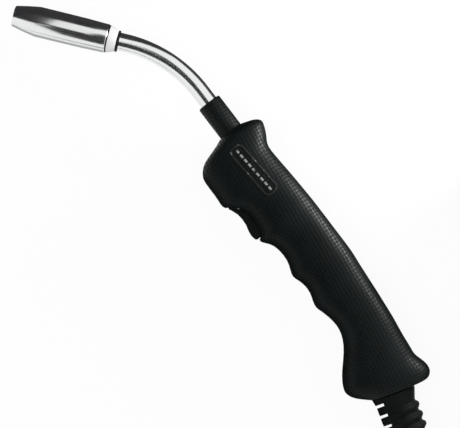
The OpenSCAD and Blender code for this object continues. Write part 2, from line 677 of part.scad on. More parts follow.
module switch_case() {
    color("#2a2a2c") torch() difference() {
        translate([switch_x, switch_y, -switch_t / 2]) cube([switch_l, switch_h, switch_t]);
        for (x = hole_xs) translate([x, switch_y + hole_up, -switch_t])
            cylinder(d = hole_d, h = switch_t * 2);
        translate([button_x, switch_y - 1, 0]) rotate([-90, 0, 0]) cylinder(r = button_r + run_gap, h = 4.2);
    }
}
module switch_plunger() {
    color("#b03028") torch() translate([button_x, switch_y - button_out, 0]) rotate([-90, 0, 0])
        cylinder(r = button_r, h = button_out + 1.4);
}
terminal_l = 5;
module switch_terminals() {
    color("#c9b27a") torch() for (dy = [3.2, 7.4])
        translate([switch_x + switch_l, switch_y + dy, -1.6]) cube([terminal_l, 0.6, 3.2]);
}
module switch_leads() {
    x0 = switch_x + switch_l + terminal_l + 0.1;
    color("#7a1f1f") torch() for (s = [0, 1]) {
        y0 = switch_y + 3.5 + 4.2 * s;
        y1 = -cable_r - 1.1 - (1 - s) * 1.9;
        x1 = bend_x - bend_run - 4;
        path = [[x0, y0, 0], [x0 + 6, y0, 0], [x0 + 12, (y0 + y1) / 2, 0], [x0 + 18, y1, 0], [x1, y1, 0]];
        swept_tube(path, 0.8);
    }
}

// ---- cable and connector ----
module cable_run() {
    color("#1d1d1f") torch() swept_tube(run_points, cable_r);
}
module cable_coil() {
    w = coil_turns_wide * cable_d;
    h = coil_layers * cable_d;
    c = cable_r * 0.6;
    r = coil_mid_r - w / 2;
    color("#1d1d1f") torch() translate([coil_x, coil_y, floor_z]) rotate_extrude($fn = 96) polygon([
        [r + c, 0], [r + w - c, 0], [r + w, c], [r + w, h - c],
        [r + w - c, h], [r + c, h], [r, h - c], [r, c]]);
}
module cable_tail() {
    tail = [for (x = [coil_x, plug_x, plug_x - plug_cable_in - 9]) [x, plug_y, plug_z]];
    color("#1d1d1f") torch() swept_pipe(tail, cable_r, hose_bore_r, pipe_sides);
}
module coil_ties() {
    w = coil_turns_wide * cable_d;
    h = coil_layers * cable_d;
    g = 0.55;
    t = 2;
    color("#35373a") torch() translate([coil_x, coil_y, floor_z]) for (a = [20, 200]) rotate([0, 0, a])
        translate([coil_mid_r, 6, h / 2]) rotate([90, 0, 0]) linear_extrude(12) difference() {
            square([w + 2 * t + 2 * g, h + 2 * t + 2 * g], center = true);
            square([w + 2 * g, h + 2 * g], center = true);
            translate([0, -h / 2 - t - g]) square([w * 2, 2 * t + 2 * g], center = true);
        }
}
module at_plug(t = 0) {
    translate([plug_x, plug_y, plug_z]) rotate([0, -90, 0]) translate([0, 0, t]) children();
}
plug_boot_l = 48;
plug_face = plug_boot_l + plug_l;
plug_r = plug_d / 2;
shell_r = plug_r - 4;
shell_wall = 3;
plug_cable_in = plug_boot_l + 18;
module connector_boot() {
    ribs = 5;
    pitch = (plug_boot_l - 14) / ribs;
    inner = cable_r + 0.1;
    collar_r = cable_r + 6;
    throat_r = cable_r + 3.2;
    flange_r = cable_r + 5.5;
    profile = concat(
        [[inner, 0], [cable_r + 2.2, 0]],
        [for (i = [0 : ribs - 1]) let (t = 3 + i * pitch, r = cable_r + 2.6 + i * 0.55)
            each [[r - 1.2, t], [r - 1.2, t + 1.6], [r, t + 2.6], [r, t + pitch - 1]]],
        [[collar_r, plug_boot_l - 7], [collar_r, plug_boot_l - 0.1], [throat_r, plug_boot_l - 0.1]],
        [[throat_r, plug_boot_l + 3.2], [flange_r, plug_boot_l + 3.2], [flange_r, plug_boot_l + 7]],
        [[inner, plug_boot_l + 7]]);
    color("#18181a") torch() at_plug() rotate_extrude() polygon(profile);
}
plug_screws = [for (t = [plug_boot_l + 26, plug_face - 12]) for (s = [1, -1]) [t, s * (shell_r - 5.2)]];
body_r = shell_r - shell_wall - 7.4;
body_l = 42;
body_back = plug_face - body_l;
module plug_half() {
    boot_seat_r = cable_r + 5.7;
    cavity_r = cable_r + 3;
    barb_end = plug_cable_in + 11;
    intersection() {
        difference() {
            at_plug() rotate_extrude() polygon([
                [0, plug_boot_l], [cable_r + 6.5, plug_boot_l], [shell_r - 1, plug_boot_l + 16],
                [shell_r, plug_boot_l + 22], [shell_r, plug_face - 10], [plug_r, plug_face - 7],
                [plug_r, plug_face - 2], [plug_r - 2, plug_face], [0, plug_face]]);
            at_plug() rotate_extrude() polygon([
                [0, plug_boot_l - 1], [cable_r + 3.4, plug_boot_l - 1], [cable_r + 3.4, plug_boot_l + 3],
                [boot_seat_r, plug_boot_l + 3], [boot_seat_r, plug_boot_l + 7.2], [cavity_r, plug_boot_l + 7.2],
                [cavity_r, barb_end], [body_r + seat_gap, barb_end + 4], [body_r + seat_gap, plug_face + 1],
                [0, plug_face + 1]]);
        }
        translate([plug_x - plug_face - 1, plug_y - plug_d, plug_z]) cube([plug_face + 2, 2 * plug_d, plug_d]);
    }
}
module connector_shell_left() {
    color("#222426") torch() difference() {
        plug_half();
        for (p = plug_screws) translate([plug_x - p[0], plug_y + p[1], plug_z - 1])
            cylinder(d = screw_d + seat_gap, h = 7);
    }
}
module connector_shell_right() {
    color("#222426") torch() difference() {
        translate([0, 2 * plug_y, 2 * plug_z]) rotate([180, 0, 0]) plug_half();
        for (p = plug_screws) {
            translate([plug_x - p[0], plug_y + p[1], plug_z - 6]) cylinder(d = screw_d + 0.4, h = 7);
            translate([plug_x - p[0], plug_y + p[1], plug_z - 30]) cylinder(r = head_r + seat_gap, h = 25);
        }
    }
}
module connector_screws() {
    color("#3a3d40") torch() for (p = plug_screws) translate([plug_x - p[0], plug_y + p[1], plug_z]) {
        translate([0, 0, -5]) cylinder(d = screw_d, h = 10.5);
        translate([0, 0, -5 - head_h]) cylinder(r = head_r, h = head_h);
    }
}
face_t = control_travel + 4.5;
pin_face = plug_face + face_t;
face_r = 14;
nut_wall = 3.2;
nipple_off = 10;
nipple_in = 4.8;
socket_floor = plug_face + 1.7;
control_off = 10;
control_angle = 55;
module at_control(s, t) {
    at_plug(t) rotate([0, 0, s * control_angle]) translate([control_off, 0, 0]) children();
}
module plug_body() {
    color("#c9a14a") torch() difference() {
        union() {
            at_plug(body_back) cylinder(r = body_r, h = plug_face - body_back + eps);
            at_plug(plug_face) cylinder(r = face_r, h = face_t);
            at_plug(plug_face + nut_wall + 2 * move_gap)
                cylinder(r = face_r + 1.6, h = face_t - nut_wall - 2 * move_gap);
            at_plug(pin_face - 1) cylinder(d = power_pin_d, h = power_pin_l + 1);
            at_plug(plug_cable_in) cylinder(r = hose_bore_r - 0.1, h = body_back - plug_cable_in + 1);
        }
        at_plug(plug_cable_in - 1) cylinder(d = 4, h = plug_face);
        at_plug(pin_face - nipple_in - 0.2) translate([-nipple_off, 0, 0])
            cylinder(d = nipple_d + 2 * seat_gap, h = 6);
        for (s = [-1, 1]) at_control(s, socket_floor - 1.1) cylinder(r = control_d / 2 + 0.9, h = face_t);
    }
}
module gas_nipple() {
    color("#d0a850") torch() at_plug(pin_face - nipple_in) translate([-nipple_off, 0, 0]) difference() {
        cylinder(d = nipple_d, h = 16);
        translate([0, 0, 9.6]) difference() {
            cylinder(d = nipple_d + 1, h = 1.6);
            cylinder(d = nipple_d - 1.2, h = 1.6);
        }
        translate([0, 0, -1]) cylinder(d = 2, h = 18);
    }
}
module gas_o_ring() {
    color("#101010") torch() at_plug(pin_face - nipple_in + 9.6 + 0.8) translate([-nipple_off, 0, 0])
        rotate_extrude($fn = 36) translate([nipple_d / 2 - 0.6 + 0.72, 0]) circle(0.7, $fn = 12);
}
module liner_nut() {
    color("#b98f3e") torch() at_plug(pin_face + power_pin_l + 0.1) difference() {
        cylinder(d = power_pin_d - 2, h = 4, $fn = 6);
        translate([0, 0, -1]) cylinder(d = 2.4, h = 6);
    }
}
module control_sockets() {
    color("#d8d2c0") torch() for (s = [-1, 1]) at_control(s, socket_floor - 1) difference() {
        cylinder(r = control_d / 2 + 0.85, h = face_t + 0.3);
        translate([0, 0, 1]) cylinder(r = control_d / 2 + run_gap, h = face_t + 2);
    }
}
module control_pin(s) {
    color("#cfae5a") torch() at_control(s, pin_face + 1.6 - control_travel) {
        cylinder(d = control_d, h = 2 + control_travel);
        translate([0, 0, 2 + control_travel]) cylinder(d1 = control_d, d2 = control_d * 0.6, h = 1.4);
    }
}
module control_pin_1() {
    control_pin(1);
}
module control_pin_2() {
    control_pin(-1);
}
module control_spring(s) {
    wire_r = 0.25;
    space = pin_face + 1.6 - control_travel - socket_floor;
    path = helix(control_d / 2 - wire_r - 0.05, 3, space - 2 * wire_r - 0.2, 10);
    color("#9aa0a6") torch() at_control(s, socket_floor + wire_r + 0.1) swept_tube(path, wire_r, 6);
}
module control_spring_1() {
    control_spring(1);
}
module control_spring_2() {
    control_spring(-1);
}
module coupling_nut() {
    lugs = 12;
    outer = plug_r - move_gap;
    inner = outer - 4;
    color("#1b1b1d") torch() at_plug(plug_face + move_gap) difference() {
        cylinder(r = outer, h = nut_l);
        translate([0, 0, nut_wall]) cylinder(r = inner, h = nut_l);
        translate([0, 0, -1]) cylinder(r = face_r + run_gap, h = 6);
        for (i = [0 : lugs - 1]) rotate([0, 0, 360 * i / lugs]) translate([outer + 1.4, 0, 4])
            cylinder(r = 2.6, h = nut_l);
    }
}

handle_shell_left();
handle_shell_right();
handle_screws();
neck_sleeve();
neck_tube();
neck_insulation();
neck_conductor();
wire_liner();
neck_ring();
nozzle_insulator();
nozzle_spring();
gas_nozzle();
contact_tip();
tip_adapter();
gas_diffuser();
power_block();
neck_lock_nut();
cable_nipple();
crimp_ferrule();
trigger();
trigger_pin();
trigger_spring();
switch_case();
switch_plunger();
switch_terminals();
switch_leads();
cable_clamp();
handle_cable();
cable_boot();
cable_run();
cable_coil();
cable_tail();
coil_ties();
connector_boot();
connector_shell_left();
connector_shell_right();
connector_screws();
plug_body();
gas_nipple();
gas_o_ring();
liner_nut();
control_pin_1();
control_pin_2();
control_spring_1();
control_spring_2();
control_sockets();
coupling_nut();
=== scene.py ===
import bpy
import bmesh
import json
import math
from mathutils import Matrix, Vector


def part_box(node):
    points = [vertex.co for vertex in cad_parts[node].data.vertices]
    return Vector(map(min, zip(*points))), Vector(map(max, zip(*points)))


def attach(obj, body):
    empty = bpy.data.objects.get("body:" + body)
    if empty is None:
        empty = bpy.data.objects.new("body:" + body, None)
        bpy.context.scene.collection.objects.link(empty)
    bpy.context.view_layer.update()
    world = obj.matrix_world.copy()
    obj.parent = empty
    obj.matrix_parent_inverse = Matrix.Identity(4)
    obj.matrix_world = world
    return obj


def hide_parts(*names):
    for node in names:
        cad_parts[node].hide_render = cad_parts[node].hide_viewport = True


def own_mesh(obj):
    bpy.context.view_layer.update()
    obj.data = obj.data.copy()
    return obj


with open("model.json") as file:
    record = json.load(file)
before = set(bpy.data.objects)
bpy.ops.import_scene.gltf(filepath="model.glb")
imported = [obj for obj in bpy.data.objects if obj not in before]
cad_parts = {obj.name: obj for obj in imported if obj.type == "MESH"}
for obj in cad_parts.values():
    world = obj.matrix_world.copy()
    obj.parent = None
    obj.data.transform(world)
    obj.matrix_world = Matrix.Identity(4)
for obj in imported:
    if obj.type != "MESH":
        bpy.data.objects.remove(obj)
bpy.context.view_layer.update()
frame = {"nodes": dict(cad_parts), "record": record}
nodes = frame["nodes"]
scene = bpy.context.scene
scene.view_settings.view_transform = "Standard"
print("frame loaded:", len(nodes), "nodes")

# Working frame of the torch, in millimetres: x from the handle's front face to the rear,
# y to the handle's back, z across the handle. The neck sleeve gives its place in the row frame.
mm = 0.001
sleeve = {"front": -22, "rear": 10, "r": 7.5, "bore": 5.56, "lip": 0.8, "lipR": 7.1}
sleeveLow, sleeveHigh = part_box("neck_sleeve")
torchZero = Vector((sleeveLow.x - sleeve["front"] * mm, (sleeveLow.y + sleeveHigh.y) / 2,
                    (sleeveLow.z + sleeveHigh.z) / 2))
neck = {"inHandle": 31, "straight": 30, "bendR": 80, "bend": math.radians(39), "r": 5.5,
        "end": ((4.2, 0), (0.4, 0.4), (0, 0.8))}
bendEnd = Vector((-neck["straight"] - neck["bendR"] * math.sin(neck["bend"]),
                  -neck["bendR"] * (1 - math.cos(neck["bend"])), 0))
noseDir = Vector((-math.cos(neck["bend"]), -math.sin(neck["bend"]), 0))
boot = {"face": (182.249, -17.2), "tilt": math.radians(16.5), "r": 12.5, "endR": 9.2, "bore": 7.1, "length": 58,
        "taperFrom": 20, "ribsFrom": 3.3, "pitch": 6.2, "ribs": 8}
bootFace = Vector((*boot["face"], 0))
bootDir = Vector((math.cos(boot["tilt"]), -math.sin(boot["tilt"]), 0))
floorZ = -16.5


def put(x, y, z=0):
    return torchZero + Vector((x, y, z)) * mm


# Camera, straight above the side that faces up.
view = {"lens": 135, "aim": (38.8, -30.4), "distance": 1035, "turn": 52.7}
camera = bpy.data.objects.new("camera", bpy.data.cameras.new("camera"))
camera.data.lens = view["lens"]
camera.data.sensor_width = 36
camera.data.clip_end = 20
camera.location = put(*view["aim"], view["distance"])
camera.rotation_euler = (0, 0, math.radians(view["turn"]))
scene.collection.objects.link(camera)
scene.camera = camera

# Cable: a short free run, a coil in two layers and a tail into the connector.
cable = {"r": 7, "run": 61.4, "midTurnR": 75, "bottomTurns": 3, "topTurns": 2, "stepShare": 0.16,
         "runPoints": 16, "perTurn": 40, "tailPoints": 12}
plug = {"back": 56, "height": 21, "cableInside": 75}  # where the cable's far end meets the connector


def ease(t):
    return t * t * (3 - 2 * t)


def cableRoute():
    r = cable["r"]
    low, high = floorZ + r, floorZ + 3 * r
    start = bootFace + bootDir * boot["length"]
    end = start + bootDir * cable["run"]
    outerR, innerR = cable["midTurnR"] + 2 * r, cable["midTurnR"] - 2 * r
    centre = end + Vector((math.sin(boot["tilt"]), math.cos(boot["tilt"]), 0)) * outerR
    count = cable["runPoints"]
    line = [start.lerp(end, i / count) + Vector((0, 0, ease(i / count) * low)) for i in range(count)]
    # the bottom layer winds inwards, climbs at its end, and the top layer winds outwards to the tail
    angle = math.atan2(end.y - centre.y, end.x - centre.x)
    toTail = (math.radians(90) - angle) % (2 * math.pi) / (2 * math.pi)
    lastLap = 2
    layers = ((outerR, innerR, low, cable["bottomTurns"]), (innerR, outerR, high, cable["topTurns"] + toTail))
    for firstR, lastR, z, laps in layers:
        step = (lastR - firstR) / lastLap
        points = int(laps * cable["perTurn"])
        for i in range(points):
            turned = laps * i / points
            lap = int(turned)
            moved = ease(max(0, (turned - lap - 1 + cable["stepShare"]) / cable["stepShare"]))
            lapR = firstR + step * min(lap, lastLap) + (step * moved if lap < lastLap else 0)
            lift = (high - low) * moved if z == low and lap == lastLap else 0
            a = angle + 2 * math.pi * turned
            line.append(centre + Vector((lapR * math.cos(a), lapR * math.sin(a), z + lift)))
        angle += 2 * math.pi * laps
    plugEnd = Vector((centre.x - plug["back"], centre.y + outerR, floorZ + plug["height"]))
    tail = Vector((centre.x, plugEnd.y, high))
    inside = plugEnd - Vector((plug["cableInside"], 0, 0))
    count = cable["tailPoints"]
    line += [tail.lerp(inside, i / count) for i in range(count + 1)]
    return line, start, centre, plugEnd


route, cableExit, coilCentre, plugStart = cableRoute()
plugDir = Vector((-1, 0, 0))
routeLength = sum((b - a).length for a, b in zip(route, route[1:])) * mm
cableCurve = bpy.data.curves.new("power_cable", "CURVE")
cableCurve.dimensions = "3D"
cableCurve.bevel_depth = cable["r"] * mm
cableCurve.bevel_resolution = 12
cableCurve.use_fill_caps = True
spline = cableCurve.splines.new("POLY")
spline.points.add(len(route) - 1)
for point, place in zip(spline.points, route):
    point.co = (*put(*place), 1)
cableRod = bpy.data.objects.new("cable_rod", cableCurve)
scene.collection.objects.link(cableRod)
bpy.context.view_layer.update()
cableMesh = bpy.data.meshes.new_from_object(cableRod.evaluated_get(bpy.context.evaluated_depsgraph_get()))
bpy.data.objects.remove(cableRod)
cableMesh.materials.clear()
for face in cableMesh.polygons:
    face.use_smooth = True
powerCable = bpy.data.objects.new("power_cable", cableMesh)
scene.collection.objects.link(powerCable)
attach(powerCable, "torch")
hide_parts("cable_run", "cable_coil", "cable_tail")
print("cable route:", len(route), "points,", round(routeLength, 3), "m")


# Shader maths: a Wire is a socket, and + - * on it add Math nodes.
class Wire:
    def __init__(self, tree, socket):
        self.tree, self.socket = tree, socket

    def maths(self, kind, other, swap=False):
        node = self.tree.nodes.new("ShaderNodeMath")
        node.operation = kind
        for slot, value in enumerate((other, self) if swap else (self, other)):
            feed(self.tree, node.inputs[slot], value)
        return Wire(self.tree, node.outputs[0])

    def __add__(self, other): return self.maths("ADD", other)
    def __radd__(self, other): return self.maths("ADD", other, True)
    def __sub__(self, other): return self.maths("SUBTRACT", other)
    def __rsub__(self, other): return self.maths("SUBTRACT", other, True)
    def __mul__(self, other): return self.maths("MULTIPLY", other)
    def __rmul__(self, other): return self.maths("MULTIPLY", other, True)


def feed(tree, socket, value):
    if isinstance(value, Wire):
        tree.links.new(value.socket, socket)
    else:
        socket.default_value = value


class Finish:
    def __init__(self, name, **constants):
        self.material = bpy.data.materials.new(name)
        self.material.use_nodes = True
        self.tree = self.material.node_tree
        self.shader = self.tree.nodes["Principled BSDF"]
        for socket, value in constants.items():
            self.set(socket.replace("_", " "), value)

    def set(self, socket, value):
        if isinstance(value, tuple) and len(value) == 3:
            value = (*value, 1)
        feed(self.tree, self.shader.inputs[socket], value)

    def node(self, kind, settings=None, inputs=None, output=0):
        made = self.tree.nodes.new("ShaderNode" + kind)
        settings = dict(settings or {})
        stops = settings.pop("stops", None)
        for key, value in settings.items():
            setattr(made, key, value)
        if stops:
            ramp = made.color_ramp
            while len(ramp.elements) < len(stops):
                ramp.elements.new(0.5)
            for element, (place, colour) in zip(ramp.elements, stops):
                element.position = place
                element.color = (*colour, 1)
        for key, value in (inputs or {}).items():
            feed(self.tree, made.inputs[key], value)
        return Wire(self.tree, made.outputs[output])

    def place(self):
        return self.node("TexCoord", output="Object")

    def noise(self, scale, detail=3, stretch=(1, 1, 1)):
        spot = self.node("Mapping", inputs={"Vector": self.place(), "Scale": stretch})
        return self.node("TexNoise", inputs={"Vector": spot, "Scale": scale, "Detail": detail}, output="Fac")

    def mottle(self, cloud, *stops):
        # each stop is a place on the cloud, a colour and a share of it
        stops = [(place, tuple(c * share for c in colour)) for place, colour, share in stops]
        self.set("Base Color", self.node("ValToRGB", {"stops": stops}, {"Fac": cloud}, "Color"))

    def bump(self, height, distance, strength=1.0):
        settings = {"Height": height, "Distance": distance, "Strength": strength}
        self.set("Normal", self.node("Bump", inputs=settings, output="Normal"))


# Finishes, each a little uneven over the surface.
def mouldedPlastic(name, colour, grain, rough, depth=0.0001):
    f = Finish(name, Specular_IOR_Level=0.3)
    cloud = f.noise(55)
    grains = {"Vector": f.place(), "Scale": grain, "Smoothness": 0.4}
    fine = f.node("TexVoronoi", {"feature": "SMOOTH_F1"}, grains, "Distance")
    f.mottle(cloud, (0.3, colour, 0.75), (0.72, colour, 1.3))
    f.set("Roughness", rough + 0.1 * (cloud - 0.5) + 0.1 * fine)
    f.bump(fine, depth)
    return f


# Small moulded domes in rows across the handle's sides.
stipple = {"pitch": 2.2, "turned": 7.7, "uneven": 0.15, "rough": 0.36, "rougher": 0.9, "depth": 0.0003,
           "grain": 0.15}


def stippledPlastic(name, colour, gloss):
    f = Finish(name, Specular_IOR_Level=gloss)
    cloud = f.noise(55)
    spot = f.node("Mapping", inputs={"Vector": f.place(), "Rotation": (0, 0, math.radians(stipple["turned"]))})
    rows = {"Vector": spot, "Scale": 1000 / stipple["pitch"], "Randomness": stipple["uneven"]}
    domes = f.node("TexVoronoi", {"feature": "F1", "voronoi_dimensions": "2D"}, rows, "Distance")
    fine = f.noise(1500, 2)
    f.mottle(cloud, (0.3, colour, 0.75), (0.72, colour, 1.3))
    f.set("Roughness", stipple["rough"] + 0.1 * (cloud - 0.5) + stipple["rougher"] * domes * domes)
    f.bump(stipple["grain"] * fine - 1.0 * domes * domes, stipple["depth"])
    return f


# Near black with pale grey spots from noise: partly wear, partly painted highlight on raised edges.
def wearAndHighlightPlastic(name, paleShift):
    f = Finish(name, Specular_IOR_Level=0.3, Roughness=0.5)
    f.mottle(f.noise(420, 2), (0.5 - paleShift, (0.006, 0.007, 0.007), 1), (0.62 - paleShift, (0.22, 0.235, 0.23), 1))
    f.bump(f.noise(900, 2), 0.0001)
    return f


def rubber(name, colour, rough=0.62):
    f = Finish(name, Specular_IOR_Level=0.1)
    cloud = f.noise(40, 4)
    f.mottle(cloud, (0.3, colour, 0.7), (0.75, colour, 1.5))
    f.set("Roughness", rough + 0.16 * (cloud - 0.5))
    f.bump(f.noise(900, 2), 0.00008, 0.6)
    return f


def polishedPlate(name, colour, rough):
    f = Finish(name, Metallic=1.0)
    haze = f.noise(60, 4)
    lines = f.noise(220, 3, (1, 6, 6))
    f.mottle(haze, (0.25, colour, 0.93), (0.8, colour, 1))
    f.set("Roughness", rough + 0.06 * haze + 0.03 * lines)
    f.bump(lines, 0.00001, 0.3)
    return f


def turnedMetal(name, colour, rough):
    f = Finish(name, Metallic=1.0)
    haze = f.noise(90, 4)
    f.mottle(haze, (0.25, colour, 0.72), (0.75, colour, 1))
    f.set("Roughness", rough + 0.15 * haze)
    f.bump(f.noise(1400, 2), 0.00002, 0.4)
    return f


def whiteCeramic(name, colour, rough):
    f = Finish(name, Specular_IOR_Level=0.5)
    cloud = f.noise(70, 4)
    f.mottle(cloud, (0.25, colour, 0.92), (0.7, colour, 1))
    f.set("Roughness", rough + 0.1 * cloud)
    f.bump(f.noise(700, 2), 0.00003, 0.4)
    return f


handleBlack = stippledPlastic("handle_black", (0.0026, 0.0044, 0.0042), 0.13)
triggerBlack = stippledPlastic("trigger_black", (0.0028, 0.0045, 0.0043), 0.13)
sleeveBlack = stippledPlastic("sleeve_black", (0.0028, 0.0045, 0.0043), 0.15)
connectorBlack = mouldedPlastic("connector_black", (0.009, 0.0096, 0.0098), 900, 0.45, 0.0002)
tieGrey = mouldedPlastic("tie_grey", (0.05, 0.052, 0.055), 1800, 0.75)
# the badge's pale spots are partly wear, partly painted highlight
ribWearAndHighlight = wearAndHighlightPlastic("rib_wear_and_highlight", 0.2)
frameWearAndHighlight = wearAndHighlightPlastic("frame_wear_and_highlight", -0.13)
bootRubber = rubber("boot_rubber", (0.003, 0.0042, 0.004))
cableRubber = rubber("cable_rubber", (0.012, 0.013, 0.0132), 0.55)
ringRubber = rubber("ring_rubber", (0.01, 0.01, 0.0105), 0.4)
neckPlate = polishedPlate("neck_plate", (0.86, 0.87, 0.87), 0.1)
nozzlePlate = polishedPlate("nozzle_plate", (0.84, 0.85, 0.85), 0.12)
brassTurned = turnedMetal("brass_turned", (0.78, 0.60, 0.30), 0.22)
copperDrawn = turnedMetal("copper_drawn", (0.80, 0.42, 0.26), 0.25)
steelTurned = turnedMetal("steel_turned", (0.52, 0.53, 0.55), 0.28)
insulatorWhite = whiteCeramic("insulator_white", (0.78, 0.79, 0.78), 0.28)
insulatingTube = whiteCeramic("insulating_tube", (0.75, 0.72, 0.62), 0.4)
switchPlastic = mouldedPlastic("switch_plastic", (0.03, 0.03, 0.033), 1500, 0.35)
plungerRed = mouldedPlastic("plunger_red", (0.4, 0.03, 0.02), 2500, 0.3, 0.00005)
wireRed = mouldedPlastic("wire_red", (0.3, 0.03, 0.025), 2500, 0.4, 0.00005)
print("finishes made")

slotFinish = {
    "handle": handleBlack, "sleeve": sleeveBlack, "trigger": triggerBlack, "boot": bootRubber, "cable": cableRubber,
    "plated": neckPlate, "steel": steelTurned, "brass": brassTurned, "copper": copperDrawn, "ring": ringRubber,
    "white_insulator": insulatorWhite, "insulation": insulatingTube, "switch": switchPlastic, "wire": wireRed,
    "plunger": plungerRed, "tie": tieGrey, "connector": connectorBlack}
for part in frame["record"]["subparts"]:
    shown = nodes[part["node"]]
    shown.data.materials.clear()
    shown.data.materials.append(slotFinish[part["material_slot"]].material)
powerCable.data.materials.append(cableRubber.material)


# Helpers that make, cut and soften pieces.
def markCreases(bm, angle=32):
    for edge in bm.edges:
        edge.smooth = len(edge.link_faces) == 2 and edge.calc_face_angle(0) < math.radians(angle)
    for face in bm.faces:
        face.smooth = True


def placed(bm, name, finish=None):
    mesh = bpy.data.meshes.new(name)
    bm.to_mesh(mesh)
    bm.free()
    if finish:
        mesh.materials.append(finish.material)
    made = bpy.data.objects.new(name, mesh)
    scene.collection.objects.link(made)
    return made


def piece(bm, name, finish, body, *stands, slot=None, crease=32):
    markCreases(bm, crease)
    made = placed(bm, name, finish)
    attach(made, body)
    if stands:
        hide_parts(*stands)
    return made


def applied(made, *changes):
    for kind, settings in changes:
        modifier = made.modifiers.new(kind.lower(), kind)
        for key, value in settings.items():
            setattr(modifier, key, value)
    bpy.context.view_layer.update()
    shaped = bpy.data.meshes.new_from_object(made.evaluated_get(bpy.context.evaluated_depsgraph_get()))
    made.modifiers.clear()
    old = made.data
    made.data = shaped
    shaped.name = made.name
    bpy.data.meshes.remove(old)


def recrease(made):
    bm = bmesh.new()
    bm.from_mesh(made.data)
    markCreases(bm)
    bm.to_mesh(made.data)
    bm.free()


def pulled(bm, edges):
    grown = bmesh.ops.extrude_edge_only(bm, edges=edges)["geom"]
    return [[g for g in grown if isinstance(g, kind)] for kind in (bmesh.types.BMEdge, bmesh.types.BMVert)]


def turn(bm, profile, origin, direction, steps=72):
    # profile points are (radius, distance along the axis), in mm
    side = direction.cross(Vector((0, 0, 1))).normalized()
    verts = [bm.verts.new(put(*(origin + side * r + direction * t))) for r, t in profile]
    edges = [bm.edges.new((a, b)) for a, b in zip(verts, verts[1:] + verts[:1])]
    bmesh.ops.spin(bm, geom=verts + edges, cent=put(*origin), axis=direction, dvec=(0, 0, 0), angle=2 * math.pi,
                   steps=steps, use_merge=True, use_duplicate=False)
    bmesh.ops.remove_doubles(bm, verts=bm.verts, dist=1e-6)
    bmesh.ops.recalc_face_normals(bm, faces=bm.faces)


def bevelled(bm, edges, width, segments):
    bmesh.ops.bevel(bm, geom=edges, offset=width * mm, affect="EDGES", segments=segments, profile=0.5, material=-1,
                    clamp_overlap=True, offset_type="OFFSET")


def soften(bm, width, angle=35, segments=2):
    sharp = [e for e in bm.edges if len(e.link_faces) == 2 and e.calc_face_angle(0) > math.radians(angle)]
    bevelled(bm, sharp, width, segments)


def turnedPiece(name, profile, origin, direction, finish, body, *stands, slot=None, steps=72, edge=0.25):
    bm = bmesh.new()
    turn(bm, profile, origin, direction, steps)
    soften(bm, edge)
    return piece(bm, name, finish, body, *stands, slot=slot)


def carve(made, bm):
    bmesh.ops.recalc_face_normals(bm, faces=bm.faces)
    cutter = placed(bm, "cutter")
    applied(made, ("BOOLEAN", {"object": cutter, "operation": "DIFFERENCE", "solver": "EXACT"}))
    bpy.data.objects.remove(cutter)
    recrease(made)


def halved(bm, seam, side):
    # keeps what lies above the seam's height, or below it for side -1
    bmesh.ops.bisect_plane(bm, geom=bm.verts[:] + bm.edges[:] + bm.faces[:], dist=1e-6, plane_co=put(0, 0, seam),
                           plane_no=(0, 0, side), clear_inner=True)


def rod(bm, a, b, r, sides=32):
    along = Vector(b) - Vector(a)
    middle = Matrix.Translation(put(*((Vector(a) + Vector(b)) / 2)))
    tilted = along.to_track_quat("Z", "Y").to_matrix().to_4x4()
    bmesh.ops.create_cone(bm, cap_ends=True, segments=sides, radius1=r * mm, radius2=r * mm,
                          depth=along.length * mm, matrix=middle @ tilted)


